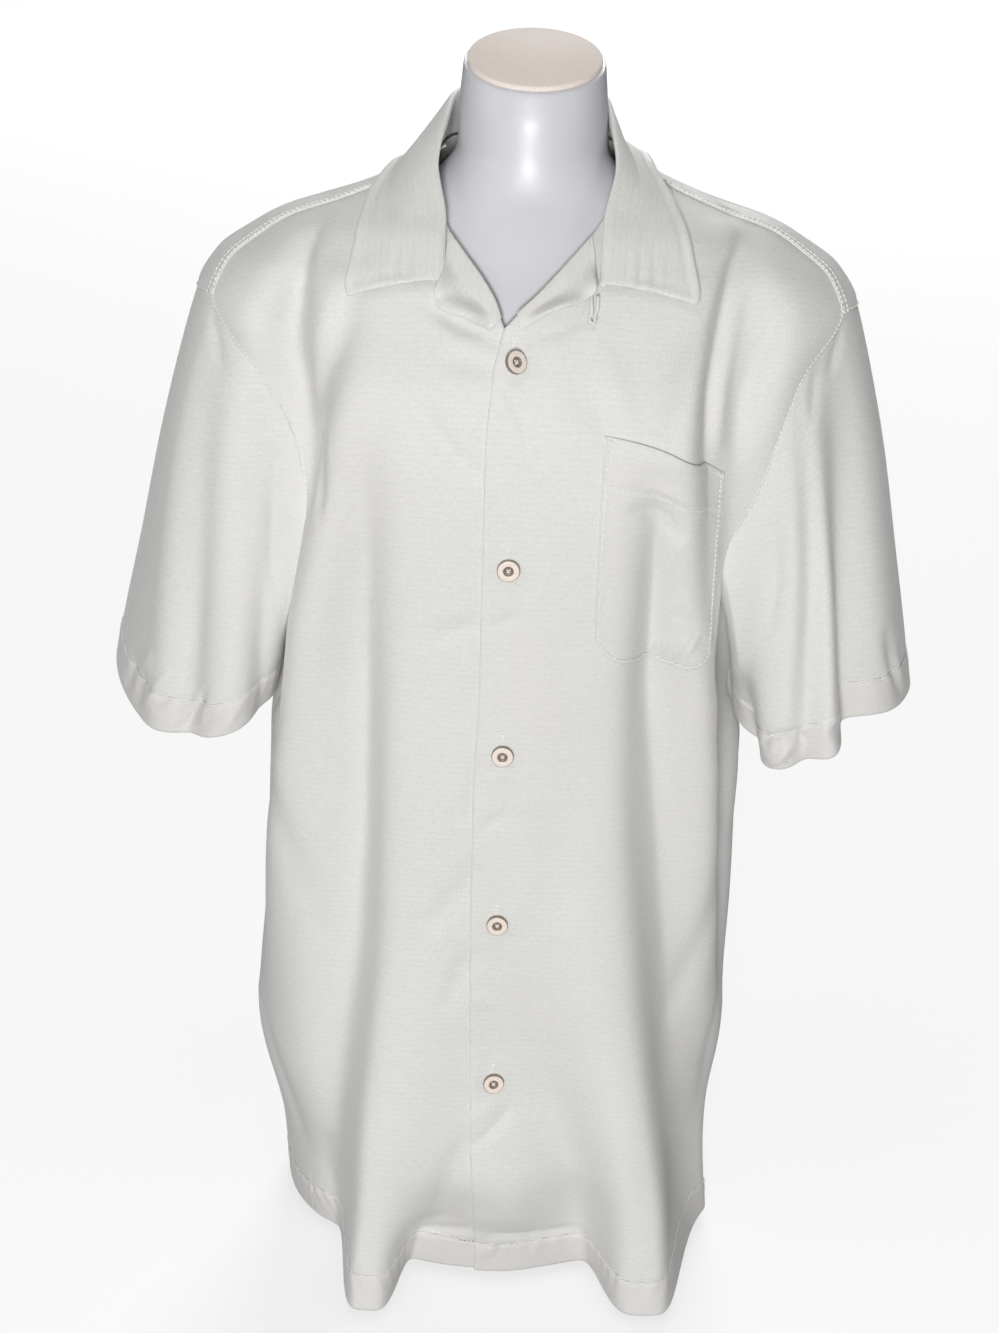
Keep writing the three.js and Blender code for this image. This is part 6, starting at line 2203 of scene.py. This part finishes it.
@dataclass
class Shirt:
    """The camp shirt: its panels, sleeves, collar, lapels, pocket, fastenings and stitching."""

    torso: Torso = field(default_factory=Torso)

    def __post_init__(self) -> None:
        """Lays out the sub-assemblies on the body."""
        self.sleeves = {side: Sleeve(side, self.torso) for side in Side}
        self.collar = Collar(self.torso)
        self.lapels = {side: Lapel(side, self.torso) for side in Side}
        self.pocket = Pocket(self.torso)
        self.fastenings = Fastenings(self.torso)

    def panels(self) -> None:
        """Makes every cut piece of cloth."""
        self._cloth(self.torso.front(Side.RIGHT), "right_front", "front_right")
        self._cloth(self.torso.front(Side.LEFT), "left_front", "front_left")
        self._cloth(self.torso.back(), "back_panel", "back")
        self._cloth(self.torso.yoke(), "yoke_panel", "yoke")
        self._cloth(self.sleeves[Side.RIGHT].shell(), "right_sleeve", "sleeve_right")
        self._cloth(self.sleeves[Side.LEFT].shell(), "left_sleeve", "sleeve_left")
        self._cloth(self.collar.shell(), "open_collar", "collar")
        self._cloth(self.lapels[Side.RIGHT].shell(), "right_lapel", "lapel_right")
        self._cloth(self.lapels[Side.LEFT].shell(), "left_lapel", "lapel_left")
        self._cloth(self.pocket.shell(), "chest_pocket", "pocket")

    def _cloth(self, shell: Shell, name: str, node: str) -> None:
        """Makes one piece of cloth and states its cut."""
        piece = settle(shell.build(name), SILK, Slot.CLOTH, (node,))
        cut = CUTS[name]
        area = sum(polygon.area for polygon in piece.data.polygons) / 2
        LOG.info("%s: cloth %.4f m2, cut %.4f m2", name, area, cut.area)

    def stitching(self) -> None:
        """Makes the rows of stitches on the hems, seams and pocket."""
        sewing = Sewing()
        self._body_hem(sewing)
        self._yoke_rows(sewing)
        self._armhole_rows(sewing)
        self._vents(sewing)
        for sleeve in self.sleeves.values():
            line, normals = sleeve.hem_line(sleeve.hem.depth)
            sewing.add(line - normals * 0.1, normals)
        self.pocket.stitch(sewing)
        self.fastenings.buttonholes(sewing)
        sewing.build("topstitching")

    def _body_hem(self, sewing: Sewing) -> None:
        """Adds the row along the bottom hem."""
        z = HEM_Z + self.torso.hem.depth
        ends = {Side.RIGHT: (-89.0, 1.5), Side.LEFT: (-7.5, 89.0)}
        for side, (low, high) in ends.items():
            angle = np.linspace(low, high, 700)
            height = np.full(700, z)
            base = self.torso.lap_lift(angle, height) if side is Side.LEFT else 0 * angle
            sewing.add(*self.torso.line(angle, height, base - 0.15))
        angle = np.linspace(91, 269, 1400)
        sewing.add(*self.torso.line(angle, np.full(1400, z), -0.15))

    def _yoke_rows(self, sewing: Sewing) -> None:
        """Adds the double rows on the yoke beside its front and back seams."""
        torso = self.torso
        for side in Side:
            for inset in (0.9, 6.2):
                z = np.linspace(762, 690, 200)
                seam = torso.yoke_seam(z) - torso.yoke_lap / YOKE_MM_A_DEGREE
                angle = side.value * (seam + inset / YOKE_MM_A_DEGREE)
                sewing.add(*torso.line(angle, z, torso.yoke_lift))
        for inset in (1.6, 7.0):
            angle = np.linspace(118, 242, 600)
            z = np.full(600, YOKE_BACK_Z - torso.yoke_lap + inset)
            sewing.add(*torso.line(angle, z, torso.yoke_lift))

    def _armhole_rows(self, sewing: Sewing) -> None:
        """Adds one row round each armhole, on the body's side of the seam."""
        for side in Side:
            loop, normals = self.torso.armhole(side, 500)
            middle = loop.mean(axis=0)
            away = unit(loop - middle)
            away = unit(away - normals * np.sum(away * normals, axis=1, keepdims=True))
            line = loop + away * 1.9
            z = line[:, 2]
            keep = z > 508
            lift = np.where(z > 688, self.torso.yoke_end_lift, 0.0)
            line = line + normals * (lift + 0.05)[:, None]
            for run in np.split(np.arange(len(line)), np.nonzero(np.diff(keep.astype(int)))[0] + 1):
                if len(run) > 8 and keep[run[0]]:
                    sewing.add(line[run], normals[run])

    def _vents(self, sewing: Sewing) -> None:
        """Adds the rows beside the side vents."""
        torso = self.torso
        z = np.linspace(VENT_TOP + 5, HEM_Z + 3, 120)
        gap = torso.vent_half * np.clip(1 - z / VENT_TOP, 0, 1) / SIDE_MM_A_DEGREE
        for side in Side:
            for sign in (-1, 1):
                angle = side.value * (90 + sign * (gap + 6.5 / SIDE_MM_A_DEGREE))
                sewing.add(*torso.line(angle, z, 0.25))


# ---------- Studio


@dataclass
class Studio:
    """The camera, the soft lights and the pale floor."""

    eye: tuple[float, float, float] = (-0.0106, -1.210, 0.997)
    pitch: float = 65.0
    roll: float = 1.7
    lens: float = 53.01
    room: float = 0.10
    backdrop: float = 0.90

    def build(self) -> None:
        """Sets everything up."""
        self._camera()
        self._floor()
        self._light("key", (-0.25, -3.3, 0.95), 0.7, 82.0)
        self._light("above", (-0.2, -0.6, 2.8), 1.0, 8.0)
        self._light("right_fill", (-2.7, -1.3, 1.5), 1.2, 9.0)
        self._light("left_fill", (2.7, -1.3, 1.5), 1.2, 7.0)
        self._light("rear", (1.0, 8.0, 5.0), 4.0, 640.0)
        world = bpy.data.worlds.new("soft_room")
        world.use_nodes = True
        nodes, links = world.node_tree.nodes, world.node_tree.links
        seen = nodes.new("ShaderNodeLightPath").outputs["Is Camera Ray"]
        level = nodes.new("ShaderNodeMapRange")
        level.inputs["To Min"].default_value = self.room
        level.inputs["To Max"].default_value = self.backdrop
        links.new(seen, level.inputs["Value"])
        links.new(level.outputs[0], nodes["Background"].inputs["Strength"])
        nodes["Background"].inputs["Color"].default_value = (1, 1, 1, 1)
        bpy.context.scene.world = world
        bpy.context.scene.view_settings.view_transform = "Standard"

    def _camera(self) -> None:
        """Places the camera."""
        data = bpy.data.cameras.new("camera")
        data.lens, data.sensor_width = self.lens, 36.0
        data.clip_end = 100
        made = bpy.data.objects.new("camera", data)
        tilt = Matrix.Rotation(math.radians(self.pitch), 4, "X")
        turn = tilt @ Matrix.Rotation(math.radians(self.roll), 4, "Z")
        made.matrix_world = Matrix.Translation(self.eye) @ turn
        bpy.context.scene.collection.objects.link(made)
        bpy.context.scene.camera = made

    def _floor(self) -> None:
        """Lays the floor."""
        bpy.ops.object.select_all(action="DESELECT")
        bpy.ops.mesh.primitive_plane_add(size=60)
        floor = bpy.context.object
        floor.name = "studio_floor"
        floor.data.materials.append(BACKDROP.material())
        floor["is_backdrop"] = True

    def _light(self, name: str, place: tuple[float, float, float], size: float, power: float) -> None:
        """Hangs one soft square light, turned to the shirt.

        Args:
            name: Its name.
            place: Where it hangs, in metres.
            size: Its side, in metres.
            power: Its power, in watts.
        """
        data = bpy.data.lights.new(name, "AREA")
        data.size, data.energy = size, power
        made = bpy.data.objects.new(name, data)
        aim = Vector((0, 0, 0.5)) - Vector(place)
        made.matrix_world = Matrix.Translation(place) @ aim.to_track_quat("-Z", "Y").to_matrix().to_4x4()
        bpy.context.scene.collection.objects.link(made)


def write_sizes() -> None:
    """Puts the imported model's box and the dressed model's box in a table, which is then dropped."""
    plain = lambda box: [[float(value) for value in corner] for corner in box]
    {"cad": plain(CAD_BOUNDS), "visual": plain(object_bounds())}


def main() -> None:
    """Builds the shirt, the form and the studio."""
    logging.basicConfig(level=logging.INFO, format="%(name)s %(message)s")
    shirt = Shirt()
    shirt.panels()
    shirt.fastenings.buttons()
    shirt.fastenings.loop()
    shirt.stitching()
    DressForm().build()
    Studio().build()
    write_sizes()


if __name__ == "__main__":
    main()
